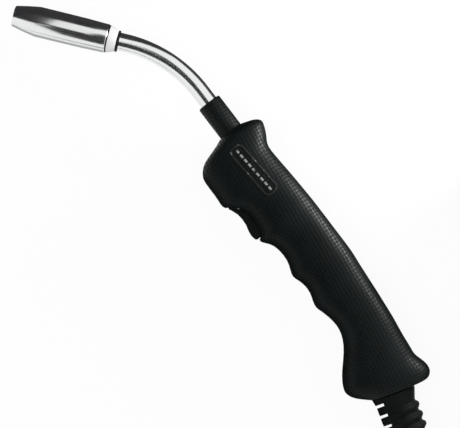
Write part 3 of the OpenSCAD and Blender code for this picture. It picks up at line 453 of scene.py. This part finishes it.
# Handle: a row joins a point of the back to a point of the belly, as x and y of both and the half width.
handle = {
    "ringSides": 32, "wall": 2.2, "roundness": 2 / 2.6, "smoothingLoss": 0.27, "seam": 0.08,
    "neckHole": 7.62, "neckHoleEdge": 7.9, "bootHole": 10.35, "bootHoleEdge": 10.9,
    "opening": ((34.6, -40, -5.8), (61.6, -18.5, 5.8)), "openingCorner": 1.2,
    "screws": [(9.6, 12.4), (20.5, -24.6), (91.5, -17.0), (159.2, -31.4), (180.8, 2.1)],
    "screwHole": 2.8, "screwHoleTop": -5.9,
    "rows": [
        (-0.1, 8.2, -0.1, -8.2, 8.6), (0, 8.6, 0, -8.6, 9.1), (1.0, 11.3, 1.2, -11.1, 11.6),
        (2.0, 14.5, 2.5, -15.1, 12.9), (3.6, 17.1, 4.0, -20.0, 14.0), (5.6, 18.8, 5.6, -24.6, 14.7),
        (7.9, 18.4, 8.2, -27.7, 15.2), (12.9, 16.4, 11.6, -30.2, 15.7), (16.8, 13.9, 14.8, -30.8, 15.9),
        (20.1, 12.0, 19.8, -30.8, 16.2), (28.0, 12.4, 28.0, -30.8, 16.3), (33.0, 12.7, 33.0, -31.8, 16.5),
        (36, 12.9, 36, -28.8, 16.5), (40, 13.1, 40, -25.7, 16.5), (43.4, 13.3, 42.9, -22.3, 16.5),
        (51.8, 13.7, 51.8, -22.0, 16.5), (60.3, 14.0, 60.3, -22.3, 16.5), (62, 14.1, 61.6, -26.1, 16.5),
        (64.6, 14.1, 63.8, -25.7, 16.4), (68.2, 14.1, 67.9, -21.8, 16.2), (72.6, 14.1, 72.0, -20.2, 16.0),
        (77.8, 14.1, 77.8, -19.6, 15.9), (83.1, 14.1, 83.1, -20.0, 15.9), (87.5, 14.1, 87.5, -21.8, 15.9),
        (91.5, 14.1, 91.5, -23.5, 16.0), (95.4, 14.1, 95.4, -21.6, 15.9), (100.7, 14.0, 100.7, -20.3, 15.9),
        (106, 13.5, 106, -20.6, 15.9), (110.4, 13.0, 110.4, -22.4, 16.0), (114.8, 12.7, 114.8, -23.5, 16.1),
        (119.2, 12.3, 118.3, -22.0, 16.1), (124.5, 11.9, 124.5, -20.4, 16.1), (131.5, 11.3, 131.1, -19.6, 16.2),
        (138.6, 10.6, 136.8, -20.7, 16.3), (146.5, 9.9, 143.0, -23.5, 16.3), (153.1, 8.9, 150, -29.4, 16.5),
        (159.2, 8.0, 155.0, -34.3, 16.5), (165.4, 7.5, 160.0, -37.9, 16.5), (169.6, 6.9, 163.9, -39.9, 16.4),
        (173.1, 6.6, 166.2, -40.3, 16.3), (176.6, 7.8, 168.9, -39.7, 16.0), (180.4, 8.9, 171.6, -38.1, 15.8),
        (183.9, 8.9, 173.9, -35.9, 15.4), (186.6, 7.8, 176.2, -33.4, 15.0), (188.5, 5.0, 178.3, -31.2, 14.4),
        (188.2, 3.0, 178.8, -30.0, 13.2)]}


def bow(v):
    return math.copysign(abs(v) ** handle["roundness"], v)


def rowPlace(row, angle):
    back, belly = Vector(row[:2]), Vector(row[2:4])
    half = (back - belly) / 2
    half += half.normalized() * handle["smoothingLoss"]
    spot = (back + belly) / 2 + half * bow(math.cos(angle))
    return put(spot.x, spot.y, row[4] * bow(math.sin(angle)))


def holePlace(hole, angle):
    centre, axis, r = hole
    across = Vector((-axis.y, axis.x, 0))
    spot = centre + across * r * math.cos(angle)
    return put(spot.x, spot.y, r * math.sin(angle))


def handleForm():
    ahead = Vector((1, 0, 0))
    neckEnds = ((5, handle["neckHole"]), (0.6, handle["neckHole"]), (-0.1, handle["neckHoleEdge"]))
    bootEnds = ((0.1, handle["bootHoleEdge"]), (-0.6, handle["bootHole"]), (-3, handle["bootHole"]))
    rings = [(holePlace, (ahead * t, ahead, r)) for t, r in neckEnds]
    rings += [(rowPlace, row) for row in handle["rows"]]
    rings += [(holePlace, (bootFace + bootDir * t, bootDir, r)) for t, r in bootEnds]
    sides = handle["ringSides"]
    bm = bmesh.new()
    bmesh.ops.create_circle(bm, cap_ends=False, segments=sides, radius=1)
    number = bm.verts.layers.int.new("place on ring")
    for k, vert in enumerate(bm.verts):
        vert[number] = k
    loop, verts = list(bm.edges), list(bm.verts)
    for k, (place, ring) in enumerate(rings):
        if k:
            loop, verts = pulled(bm, loop)
        for vert in verts:
            vert.co = place(ring, 2 * math.pi * vert[number] / sides)
    bmesh.ops.recalc_face_normals(bm, faces=bm.faces)
    return bm


def triggerOpening():
    low, high = (Vector(corner) for corner in handle["opening"])
    size = Matrix.Diagonal((*((high - low) * mm), 1))
    bm = bmesh.new()
    bmesh.ops.create_cube(bm, size=1, matrix=Matrix.Translation(put(*((low + high) / 2))) @ size)
    upright = [e for e in bm.edges if abs((e.verts[0].co - e.verts[1].co).y) > 0.5 * e.calc_length()]
    bevelled(bm, upright, handle["openingCorner"], 4)
    return bm


def handleHalf(name, node, side):
    made = piece(handleForm(), name, handleBlack, "torch", node, slot="handle")
    applied(made, ("SUBSURF", {"levels": 1, "render_levels": 1}))
    bm = bmesh.new()
    bm.from_mesh(made.data)
    halved(bm, handle["seam"] * side, side)
    bmesh.ops.recalc_face_normals(bm, faces=bm.faces)
    if sum(f.normal.z * f.calc_area() for f in bm.faces) * side < 0:
        bmesh.ops.reverse_faces(bm, faces=bm.faces)
    bm.to_mesh(made.data)
    bm.free()
    applied(made, ("SOLIDIFY", {"thickness": handle["wall"] * mm, "offset": -1, "use_rim": True,
                                "use_even_offset": False}))
    carve(made, triggerOpening())
    if side < 0:
        bm = bmesh.new()
        for x, y in handle["screws"]:
            rod(bm, (x, y, -30), (x, y, handle["screwHoleTop"]), handle["screwHole"])
        carve(made, bm)
    return made


handleTop = handleHalf("handle_half_top", "handle_shell_left", 1)
handleHalf("handle_half_under", "handle_shell_right", -1)
print("handle made:", len(handleTop.data.polygons), "faces a half")

# A plain oblong frame with a row of dashes inside, moulded on the side that faces up. Their pale grey spots are
# partly wear and partly painted highlight.
badge = {"middle": (26.6, -3.5), "tilt": 4.2, "length": 36, "height": 9.4, "corner": 3.5, "cornerSteps": 5,
         "pointStep": 1.5, "rim": 1.1, "stand": 0.3, "edge": 0.12, "above": 22,
         "dashHalf": 0.65, "dashStep": 1.2, "dashSteps": 26}


def badgeSpot(x, y):
    a = math.radians(badge["tilt"])
    middle = badge["middle"]
    return put(middle[0] + x * math.cos(a) - y * math.sin(a), middle[1] + x * math.sin(a) + y * math.cos(a),
               badge["above"])


def laid(name, bm, finish):
    # drops a flat mesh onto the handle and gives it its thickness
    bmesh.ops.recalc_face_normals(bm, faces=bm.faces)
    for face in bm.faces:
        if face.normal.z < 0:
            face.normal_flip()
    made = piece(bm, name, finish, "torch")
    applied(made, ("SHRINKWRAP", {"target": handleTop, "wrap_method": "PROJECT", "use_project_z": True,
                                  "use_negative_direction": True, "use_positive_direction": False}),
            ("SOLIDIFY", {"thickness": 2 * badge["stand"] * mm, "offset": 0}),
            ("BEVEL", {"width": badge["edge"] * mm, "segments": 2}))
    recrease(made)


def badgeFrame():
    corner = badge["corner"]
    alongX, alongY = badge["length"] / 2 - corner, badge["height"] / 2 - corner
    places = []
    for quarter, (sideX, sideY) in enumerate(((1, 1), (-1, 1), (-1, -1), (1, -1))):
        for k in range(badge["cornerSteps"] + 1):
            a = math.pi / 2 * (quarter + k / badge["cornerSteps"])
            places.append((sideX * alongX + corner * math.cos(a), sideY * alongY + corner * math.sin(a)))
    bm = bmesh.new()
    outer = []
    for (x0, y0), (x1, y1) in zip(places, places[1:] + places[:1]):
        parts = max(1, round(math.hypot(x1 - x0, y1 - y0) / badge["pointStep"]))
        outer += [bm.verts.new(badgeSpot(x0 + (x1 - x0) * i / parts, y0 + (y1 - y0) * i / parts))
                  for i in range(parts)]
    inner = []
    for before, vert, after in zip(outer[-1:] + outer[:-1], outer, outer[1:] + outer[:1]):
        run = (after.co - before.co).normalized()
        inner.append(bm.verts.new(vert.co + Vector((-run.y, run.x, 0)) * badge["rim"] * mm))
    loops = [bm.edges.new((a, b)) for ring in (outer, inner) for a, b in zip(ring, ring[1:] + ring[:1])]
    bmesh.ops.bridge_loops(bm, edges=loops)
    laid("badge_frame", bm, frameWearAndHighlight)


def badgeDashes():
    bm = bmesh.new()
    half, count = badge["dashHalf"], badge["dashSteps"]
    rungs = []
    for i in range(count + 1):
        x = badge["dashStep"] * (i - count / 2)
        rungs.append([bm.verts.new(badgeSpot(x, y)) for y in (-half, half)])
    for k, ((a, b), (c, d)) in enumerate(zip(rungs, rungs[1:])):
        if k % 3 < 2:
            bm.faces.new((a, c, d, b))
    laid("badge_rib", bm, ribWearAndHighlight)


badgeFrame()
badgeDashes()

# Trigger: its outline in the torch's plane, drawn out across the handle.
trigger = {"halfWidth": 5.5, "edge": 0.9, "outline": [
    (35.6, -29.6), (37.9, -28.4), (42.0, -26.9), (46.1, -26.5), (50.1, -26.8), (53.9, -27.8), (57.1, -28.2),
    (60.0, -27.7), (60.9, -26.7), (60.9, -22.6), (54.4, -21.1), (40.6, -21.1), (37.1, -21.2), (36.0, -23.6)]}


def triggerLever():
    bm = bmesh.new()
    face = bm.faces.new([bm.verts.new(put(x, y, -trigger["halfWidth"])) for x, y in trigger["outline"]])
    raised = bmesh.ops.extrude_face_region(bm, geom=[face])["geom"]
    upper = [g for g in raised if isinstance(g, bmesh.types.BMVert)]
    bmesh.ops.translate(bm, vec=(0, 0, 2 * trigger["halfWidth"] * mm), verts=upper)
    bmesh.ops.recalc_face_normals(bm, faces=bm.faces)
    soften(bm, trigger["edge"], 50, 4)
    piece(bm, "trigger_lever", triggerBlack, "trigger", "trigger", slot="trigger", crease=40)


triggerLever()


# Neck: a straight tube, its bend and a rounded end inside the insulator.
def swanNeck():
    bm = bmesh.new()
    rear = Matrix.Translation(put(neck["inHandle"], 0)) @ Matrix.Rotation(math.pi / 2, 4, "Y")
    bmesh.ops.create_circle(bm, cap_ends=False, segments=48, radius=neck["r"] * mm, matrix=rear)
    loop, verts = pulled(bm, list(bm.edges))
    bmesh.ops.translate(bm, vec=((-neck["inHandle"] - neck["straight"]) * mm, 0, 0), verts=verts)
    swept = bmesh.ops.spin(bm, geom=verts + loop, cent=put(-neck["straight"], -neck["bendR"]), axis=(0, 0, 1),
                           dvec=(0, 0, 0), angle=neck["bend"], steps=40, use_merge=False,
                           use_duplicate=False)["geom_last"]
    loop = [g for g in swept if isinstance(g, bmesh.types.BMEdge)]
    for distance, thinner in neck["end"]:
        loop, verts = pulled(bm, loop)
        bmesh.ops.translate(bm, vec=noseDir * distance * mm, verts=verts)
        centre = sum((v.co for v in verts), Vector()) / len(verts)
        for vert in verts:
            vert.co = centre + (vert.co - centre).normalized() * (neck["r"] - thinner) * mm
    bmesh.ops.recalc_face_normals(bm, faces=bm.faces)
    piece(bm, "swan_neck", neckPlate, "torch", "neck_tube", slot="plated", crease=40)


# Profiles along the nose from the bend's end, as (radius, distance); the nozzle's starts at its own rear.
nose = {
    "ring": [(4.9, 4.6), (6.5, 4.6), (6.5, 5.8), (4.9, 5.8)],
    "insulator": [(4.8, 5.8), (6.55, 5.8), (6.75, 6.4), (8.2, 11.0), (6.95, 11.0), (6.95, 15.8), (6.2, 15.8),
                  (6.2, 20.8), (6.95, 20.8), (6.95, 29.6), (5.5, 29.6), (5.5, 9.0), (4.8, 9.0)],
    "nozzleRear": 11.8,
    "nozzle": [(7, 0), (8.35, 0), (8.65, 0.35), (9.02, 14), (9.1, 26), (9.1, 43), (7.85, 50.2), (6.35, 57.2),
               (6.1, 57.5), (5.1, 57.5), (5, 57.2), (5, 52.5), (7, 46.5)],
    "tip": [(0.5, 32.2), (3, 32.2), (3, 38.2), (4, 38.2), (4, 58.2), (3.6, 60.6), (2.4, 64.2), (0.7, 64.2),
            (0.5, 63.9)],
    "nozzleSeal": [(7.0, 11.05), (8.28, 11.05), (8.28, 11.75), (7.0, 11.75)]}
sleeveProfile = [(sleeve["bore"], sleeve["rear"]), (sleeve["r"], sleeve["rear"]),
                 (sleeve["r"], sleeve["front"] + sleeve["lip"]), (sleeve["lipR"], sleeve["front"]),
                 (sleeve["bore"], sleeve["front"])]

swanNeck()
turnedPiece("neck_grip_sleeve", sleeveProfile, Vector((0, 0, 0)), Vector((1, 0, 0)), sleeveBlack, "torch",
            "neck_sleeve", slot="sleeve")
turnedPiece("neck_seal_ring", nose["ring"], bendEnd, noseDir, ringRubber, "torch", "neck_ring", slot="ring",
            edge=0.35)
turnedPiece("nose_insulator", nose["insulator"], bendEnd, noseDir, insulatorWhite, "torch", "nozzle_insulator",
            slot="white_insulator", edge=0.15)
turnedPiece("nozzle_tube", nose["nozzle"], bendEnd + noseDir * nose["nozzleRear"], noseDir, nozzlePlate,
            "gas_nozzle", "gas_nozzle", slot="plated", steps=96, edge=0.12)
turnedPiece("tip_point", nose["tip"], bendEnd, noseDir, copperDrawn, "torch", "contact_tip", slot="copper",
            steps=48, edge=0.12)
turnedPiece("nozzle_seal_ring", nose["nozzleSeal"], bendEnd, noseDir, ringRubber, "torch", edge=0.1)
print("neck and nose made")


# Bend protector: a collar, ribs, and slits on the belly side. Rib points are (radius, distance) from the
# body's radius and the rib's place.
bootCollar = [(boot["bore"], -6.4), (12.3, -6.4), (12.3, -3.4), (10.1, -3.4), (10.1, 0.6), (13.6, 0.6), (13.1, 3),
              (12, 6)]
bootRib = [(-1.5, -0.8), (-1.5, 0.4), (0, 1.8), (0, 3.4)]
slit = {"count": 4, "first": 5.9, "perRib": 1.06, "width": 1.6, "floor": 7.3, "lean": 7.7, "tall": 12, "across": 30,
        "plainZone": (6, 27), "plainFrom": 0.1, "plainOver": 0.5, "core": 9}


def bodyR(t):
    share = max(0, t - boot["taperFrom"]) / (boot["length"] - boot["taperFrom"])
    return boot["r"] + (boot["endR"] - boot["r"]) * share


def bendProtector():
    profile = list(bootCollar)
    for i in range(boot["ribs"]):
        place = boot["ribsFrom"] + (i + 1) * boot["pitch"]
        profile += [(bodyR(place) + r, place + t) for r, t in bootRib]
    profile += [(boot["endR"], boot["length"]), (boot["bore"], boot["length"])]
    bm = bmesh.new()
    turn(bm, profile, bootFace, bootDir)
    # the belly side is plain between its slits, where the back has grooves
    down = Vector((-math.sin(boot["tilt"]), -math.cos(boot["tilt"]), 0))
    foot = put(*bootFace)
    zoneStart, zoneEnd = slit["plainZone"]
    for vert in bm.verts:
        along = (vert.co - foot).dot(bootDir) / mm
        out = vert.co - foot - bootDir * along * mm
        if zoneStart < along < zoneEnd and out.length > slit["core"] * mm:
            facing = (out.normalized().dot(down) - slit["plainFrom"]) / slit["plainOver"]
            vert.co += out.normalized() * (bodyR(along) * mm - out.length) * ease(min(1, max(0, facing)))
    soften(bm, 0.3, 30)
    made = piece(bm, "bend_protector", bootRubber, "torch", "cable_boot", slot="boot")
    bm = bmesh.new()
    lean = Matrix.Rotation(-boot["tilt"], 4, "Z") @ Matrix.Rotation(math.radians(-slit["lean"]), 4, "Y")
    size = Matrix.Diagonal((slit["width"] * mm, slit["tall"] * mm, slit["across"] * mm, 1))
    for i in range(slit["count"]):
        along = slit["first"] + i * boot["pitch"] * slit["perRib"]
        middle = bootFace + bootDir * along + down * (slit["floor"] + slit["tall"] / 2)
        bmesh.ops.create_cube(bm, size=1, matrix=Matrix.Translation(put(*middle)) @ lean @ size)
    carve(made, bm)


bendProtector()
print("bend protector made")

# Coil ties: open straps over the coil, standing on the floor.
tie = {"turned": (20, 200), "halfWide": 21, "high": 28, "foot": 0.2, "corner": 5, "thick": 1.6, "width": 12,
       "gap": 0.3, "edge": 0.3}


def coilStraps():
    side, corner = tie["halfWide"] + tie["gap"], tie["corner"]
    top = tie["high"] + tie["gap"]
    arch = [(-side, tie["foot"]), (-side, tie["high"] - corner)]
    arch += [(-side + corner * (1 - math.cos(b)), top - corner * (1 - math.sin(b))) for b in (0.4, 0.8, 1.2)]
    arch += [(-x, y) for x, y in reversed(arch)]
    bm = bmesh.new()
    for degrees in tie["turned"]:
        a = math.radians(degrees)
        out, along = Vector((math.cos(a), math.sin(a), 0)), Vector((-math.sin(a), math.cos(a), 0))
        edge = coilCentre + out * cable["midTurnR"] - along * tie["width"] / 2
        low = [bm.verts.new(put(*(edge + out * x + Vector((0, 0, floorZ + y))))) for x, y in arch]
        edges, verts = pulled(bm, [bm.edges.new(ends) for ends in zip(low, low[1:])])
        bmesh.ops.translate(bm, vec=along * tie["width"] * mm, verts=verts)
    bmesh.ops.recalc_face_normals(bm, faces=bm.faces)
    made = piece(bm, "coil_straps", tieGrey, "torch", "coil_ties", slot="tie")
    applied(made, ("SOLIDIFY", {"thickness": tie["thick"] * mm, "offset": 0}),
            ("BEVEL", {"width": tie["edge"] * mm, "segments": 2}))
    return made


straps = coilStraps()

# Connector: its bend protector, two halves, the coupling ring and the springs behind the control pins.
plugBoot = {"start": [(7.1, 0), (9.2, 0)], "ribs": 5, "firstR": 9.6, "wider": 0.55, "firstAt": 3, "pitch": 6.8,
            "rib": [(-1.2, 0), (-1.2, 1.6), (0, 2.6), (0, 5.8)],
            "collar": [(13, 41), (13, 47.9), (10.2, 47.9), (10.2, 51.2), (12.5, 51.2), (12.5, 55), (7.1, 55)]}


def plugProtector():
    profile = list(plugBoot["start"])
    for i in range(plugBoot["ribs"]):
        place, ribR = plugBoot["firstAt"] + i * plugBoot["pitch"], plugBoot["firstR"] + i * plugBoot["wider"]
        profile += [(ribR + r, place + t) for r, t in plugBoot["rib"]]
    profile += plugBoot["collar"]
    return turnedPiece("plug_bend_protector", profile, plugStart, plugDir, bootRubber, "torch", "connector_boot",
                       slot="boot")


shell = {"seam": 0.06, "edge": 0.3, "screwsAlong": (74, 116), "screwsOff": 11.8, "screwHole": 2.8, "profile": [
    (10.5, 48), (13.5, 48), (16, 64), (17, 70), (17, 118), (20.99, 121), (20.99, 126), (19, 128), (6.8, 128),
    (6.8, 81), (10, 77), (10, 55.4), (12.7, 55.4), (12.7, 51), (10.5, 51)]}


def plugHalf(name, node, side):
    bm = bmesh.new()
    turn(bm, shell["profile"], plugStart, plugDir)
    halved(bm, plugStart.z + shell["seam"] * side, side)
    bmesh.ops.holes_fill(bm, edges=[e for e in bm.edges if e.is_boundary], sides=0)
    bmesh.ops.recalc_face_normals(bm, faces=bm.faces)
    soften(bm, shell["edge"], 30)
    made = piece(bm, name, connectorBlack, "torch", node, slot="connector")
    if side < 0:
        bm = bmesh.new()
        for t in shell["screwsAlong"]:
            for off in (shell["screwsOff"], -shell["screwsOff"]):
                spot = plugStart + plugDir * t + Vector((0, off, 0))
                rod(bm, spot - Vector((0, 0, 30)), spot - Vector((0, 0, 5)), shell["screwHole"])
        carve(made, bm)
    return made


coupling = {"face": 128.3, "length": 32, "r": 20.7, "bore": 16.7, "floorBore": 14.05, "floor": 3.2, "edge": 0.5,
            "grooves": 12, "grooveR": 2.6, "grooveOff": 22.1}


def couplingRing():
    face, end = coupling["face"], coupling["face"] + coupling["length"]
    step = face + coupling["floor"]
    bm = bmesh.new()
    turn(bm, [(coupling["floorBore"], face), (coupling["r"], face), (coupling["r"], end), (coupling["bore"], end),
              (coupling["bore"], step), (coupling["floorBore"], step)], plugStart, plugDir, 96)
    soften(bm, coupling["edge"])
    made = piece(bm, "coupling_ring", connectorBlack, "coupling_nut", "coupling_nut", slot="connector")
    bm = bmesh.new()
    for i in range(coupling["grooves"]):
        a = 2 * math.pi * i / coupling["grooves"]
        line = plugStart + Vector((0, math.sin(a), math.cos(a))) * coupling["grooveOff"]
        rod(bm, line + plugDir * (face + 4), line + plugDir * (end + 8), coupling["grooveR"], 20)
    carve(made, bm)
    return made


# The two coil springs behind the sprung control pins, each wound to fill its part's box.
controlSpring = {"wireR": 0.25, "wireSides": 8, "turns": 3, "perTurn": 18, "pressed": 0.52}


def pinSpring(index):
    low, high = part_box(f"control_spring_{index}")
    wireR = controlSpring["wireR"] * mm
    front = Vector((high.x - wireR, (low.y + high.y) / 2, (low.z + high.z) / 2))
    loopR = (high.y - low.y) / 2 - wireR
    steps = controlSpring["turns"] * controlSpring["perTurn"]
    bm = bmesh.new()
    bmesh.ops.create_circle(bm, cap_ends=True, segments=controlSpring["wireSides"], radius=wireR,
                            matrix=Matrix.Translation(front + Vector((0, loopR, 0))))
    bmesh.ops.spin(bm, geom=bm.verts[:] + bm.edges[:] + bm.faces[:], cent=front, axis=(1, 0, 0),
                   dvec=((low.x + wireR - front.x) / steps, 0, 0), angle=2 * math.pi * controlSpring["turns"],
                   steps=steps, use_merge=False, use_duplicate=False)
    bmesh.ops.recalc_face_normals(bm, faces=bm.faces)
    made = piece(bm, f"pin_spring_{index}", steelTurned, "torch", f"control_spring_{index}", slot="steel",
                 crease=50)
    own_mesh(made)
    return made


onCable = [straps, plugProtector(), plugHalf("plug_half_top", "connector_shell_left", 1),
           plugHalf("plug_half_under", "connector_shell_right", -1), couplingRing(), pinSpring(1), pinSpring(2)]
onCable += [nodes[name] for name in ("connector_screws", "plug_body", "gas_nipple", "gas_o_ring", "liner_nut",
                                     "control_pin_1", "control_pin_2", "control_sockets")]
[put(*place) for place in route]
put(*cableExit)
print("connector made")

# Floor, cards, lamps and world.
studio = {"floorSize": 6, "floorSeen": 0.93, "floorMirrored": 0.8, "world": 0.55, "worldSeen": 0.45,
          "cardHigh": 300, "cardLow": -15.8}


def stageFloor():
    # glows white to the camera and in reflections; the rest is a lit surface, which holds the torch's shadow
    f = Finish("floor_white", Base_Color=(0.85, 0.85, 0.85), Roughness=0.9)
    bm = bmesh.new()
    bmesh.ops.create_grid(bm, x_segments=1, y_segments=1, size=studio["floorSize"])
    placed(bm, "floor", f)
    seen = f.node("LightPath", output="Is Camera Ray")
    mirrored = f.node("LightPath", output="Is Glossy Ray")
    glow = f.node("Emission", inputs={"Color": (1, 1, 1, 1), "Strength": 1.0}, output="Emission")
    shares = studio["floorSeen"] * seen + studio["floorMirrored"] * mirrored
    mixed = f.node("MixShader", inputs={0: shares, 1: Wire(f.tree, f.shader.outputs[0]), 2: glow}, output="Shader")
    f.tree.links.new(mixed.socket, f.tree.nodes["Material Output"].inputs["Surface"])


stageFloor()

# Cards that only reflections see, as around a studio table: they put the bands on nozzle and neck.
# Two hang overhead, three stand on the back's side, and three lie on the floor, a grey one beside the nozzle as
# painted shade: it stands in for the floor's shadow there, as the nozzle reflects it.
cardBlack = Finish("card_black", Base_Color=(0.04, 0.04, 0.042), Roughness=1.0, Specular_IOR_Level=0.0)
cardGrey = Finish("card_grey", Base_Color=(0.45, 0.46, 0.46), Roughness=1.0, Specular_IOR_Level=0.0)


def card(name, *corners, finish=cardBlack):
    bm = bmesh.new()
    bm.faces.new([bm.verts.new(put(*corner)) for corner in corners])
    made = placed(bm, name, finish)
    made.visible_camera = made.visible_diffuse = made.visible_shadow = made.visible_transmission = False


def beside(along, across, height):
    # a place measured along the nozzle from the bend's end and towards its upper side
    spot = bendEnd + noseDir * along + Vector((noseDir.y, -noseDir.x, 0)) * across
    return spot.x, spot.y, height


high, flat = studio["cardHigh"], studio["cardLow"]
card("card_over", beside(110, -30, high), beside(40, -28, high), (-66, -74, high), (-106, -8, high),
     (-128, 66, high), (-87, 66, high), (-46, 24, high), (300, 40, high), (300, -460, high), (150, -460, high),
     (20, -323, high), beside(155, -110, high), beside(110, -110, high))
card("card_front", beside(110, -66, high), beside(110, 420, high), beside(1500, 420, high),
     beside(1500, -110, high), beside(155, -110, high))
# painted shade: a grey card in place of the floor's shadow beside the nozzle, seen only in reflections
card("card_floor_nose", beside(8, -10, flat), beside(90, -10, flat), beside(90, -40, flat), beside(8, -40, flat),
     finish=cardGrey)
card("card_wall_nose", beside(420, 200, -16), beside(420, 200, 204), beside(12, 200, 204), beside(-2, 200, 150),
     beside(-2, 200, -16))
card("card_wall_bend", beside(-2, 200, -16), beside(-2, 200, 150), (-122, 185, -16))
card("card_wall_neck", (-122, 185, -16), (-122, 185, 18), (-20, 185, 18), (-20, 185, -16))
card("card_floor_belly", (0, -15, flat), (190, -15, flat), (420, -420, flat), (-20, -420, flat))
card("card_floor", (-700, 700, flat), beside(600, 8, flat), beside(0, 8, flat), (-57, 4, flat), (-30, 7, flat),
     (230, 12, flat), (420, 700, flat))


def lamp(name, place, aim, size, power):
    data = bpy.data.lights.new(name, "AREA")
    data.shape = "RECTANGLE"
    data.size, data.size_y = size
    data.energy = power
    made = bpy.data.objects.new(name, data)
    made.location = put(*place)
    made.rotation_euler = (put(*aim) - made.location).to_track_quat("-Z", "Y").to_euler()
    scene.collection.objects.link(made)
    return made


lamp("back_lamp", (125, 320, 45), (125, 0, 0), (0.15, 0.11), 2.3)
topLamp = lamp("top_lamp", (-250, -500, 1300), (30, -10, 0), (0.9, 0.9), 9)
topLamp.visible_glossy = False


def studioWorld():
    world = bpy.data.worlds.new("studio")
    scene.world = world
    world.use_nodes = True
    tree = world.node_tree
    backdrop = tree.nodes["Background"]
    backdrop.inputs["Color"].default_value = (1, 1, 1, 1)
    path = tree.nodes.new("ShaderNodeLightPath")
    seen, mirrored, through = (Wire(tree, path.outputs[f"Is {ray} Ray"])
                               for ray in ("Camera", "Glossy", "Transmission"))
    feed(tree, backdrop.inputs["Strength"], studio["world"] + studio["worldSeen"] * (seen + mirrored + through))


studioWorld()

print("scene made")
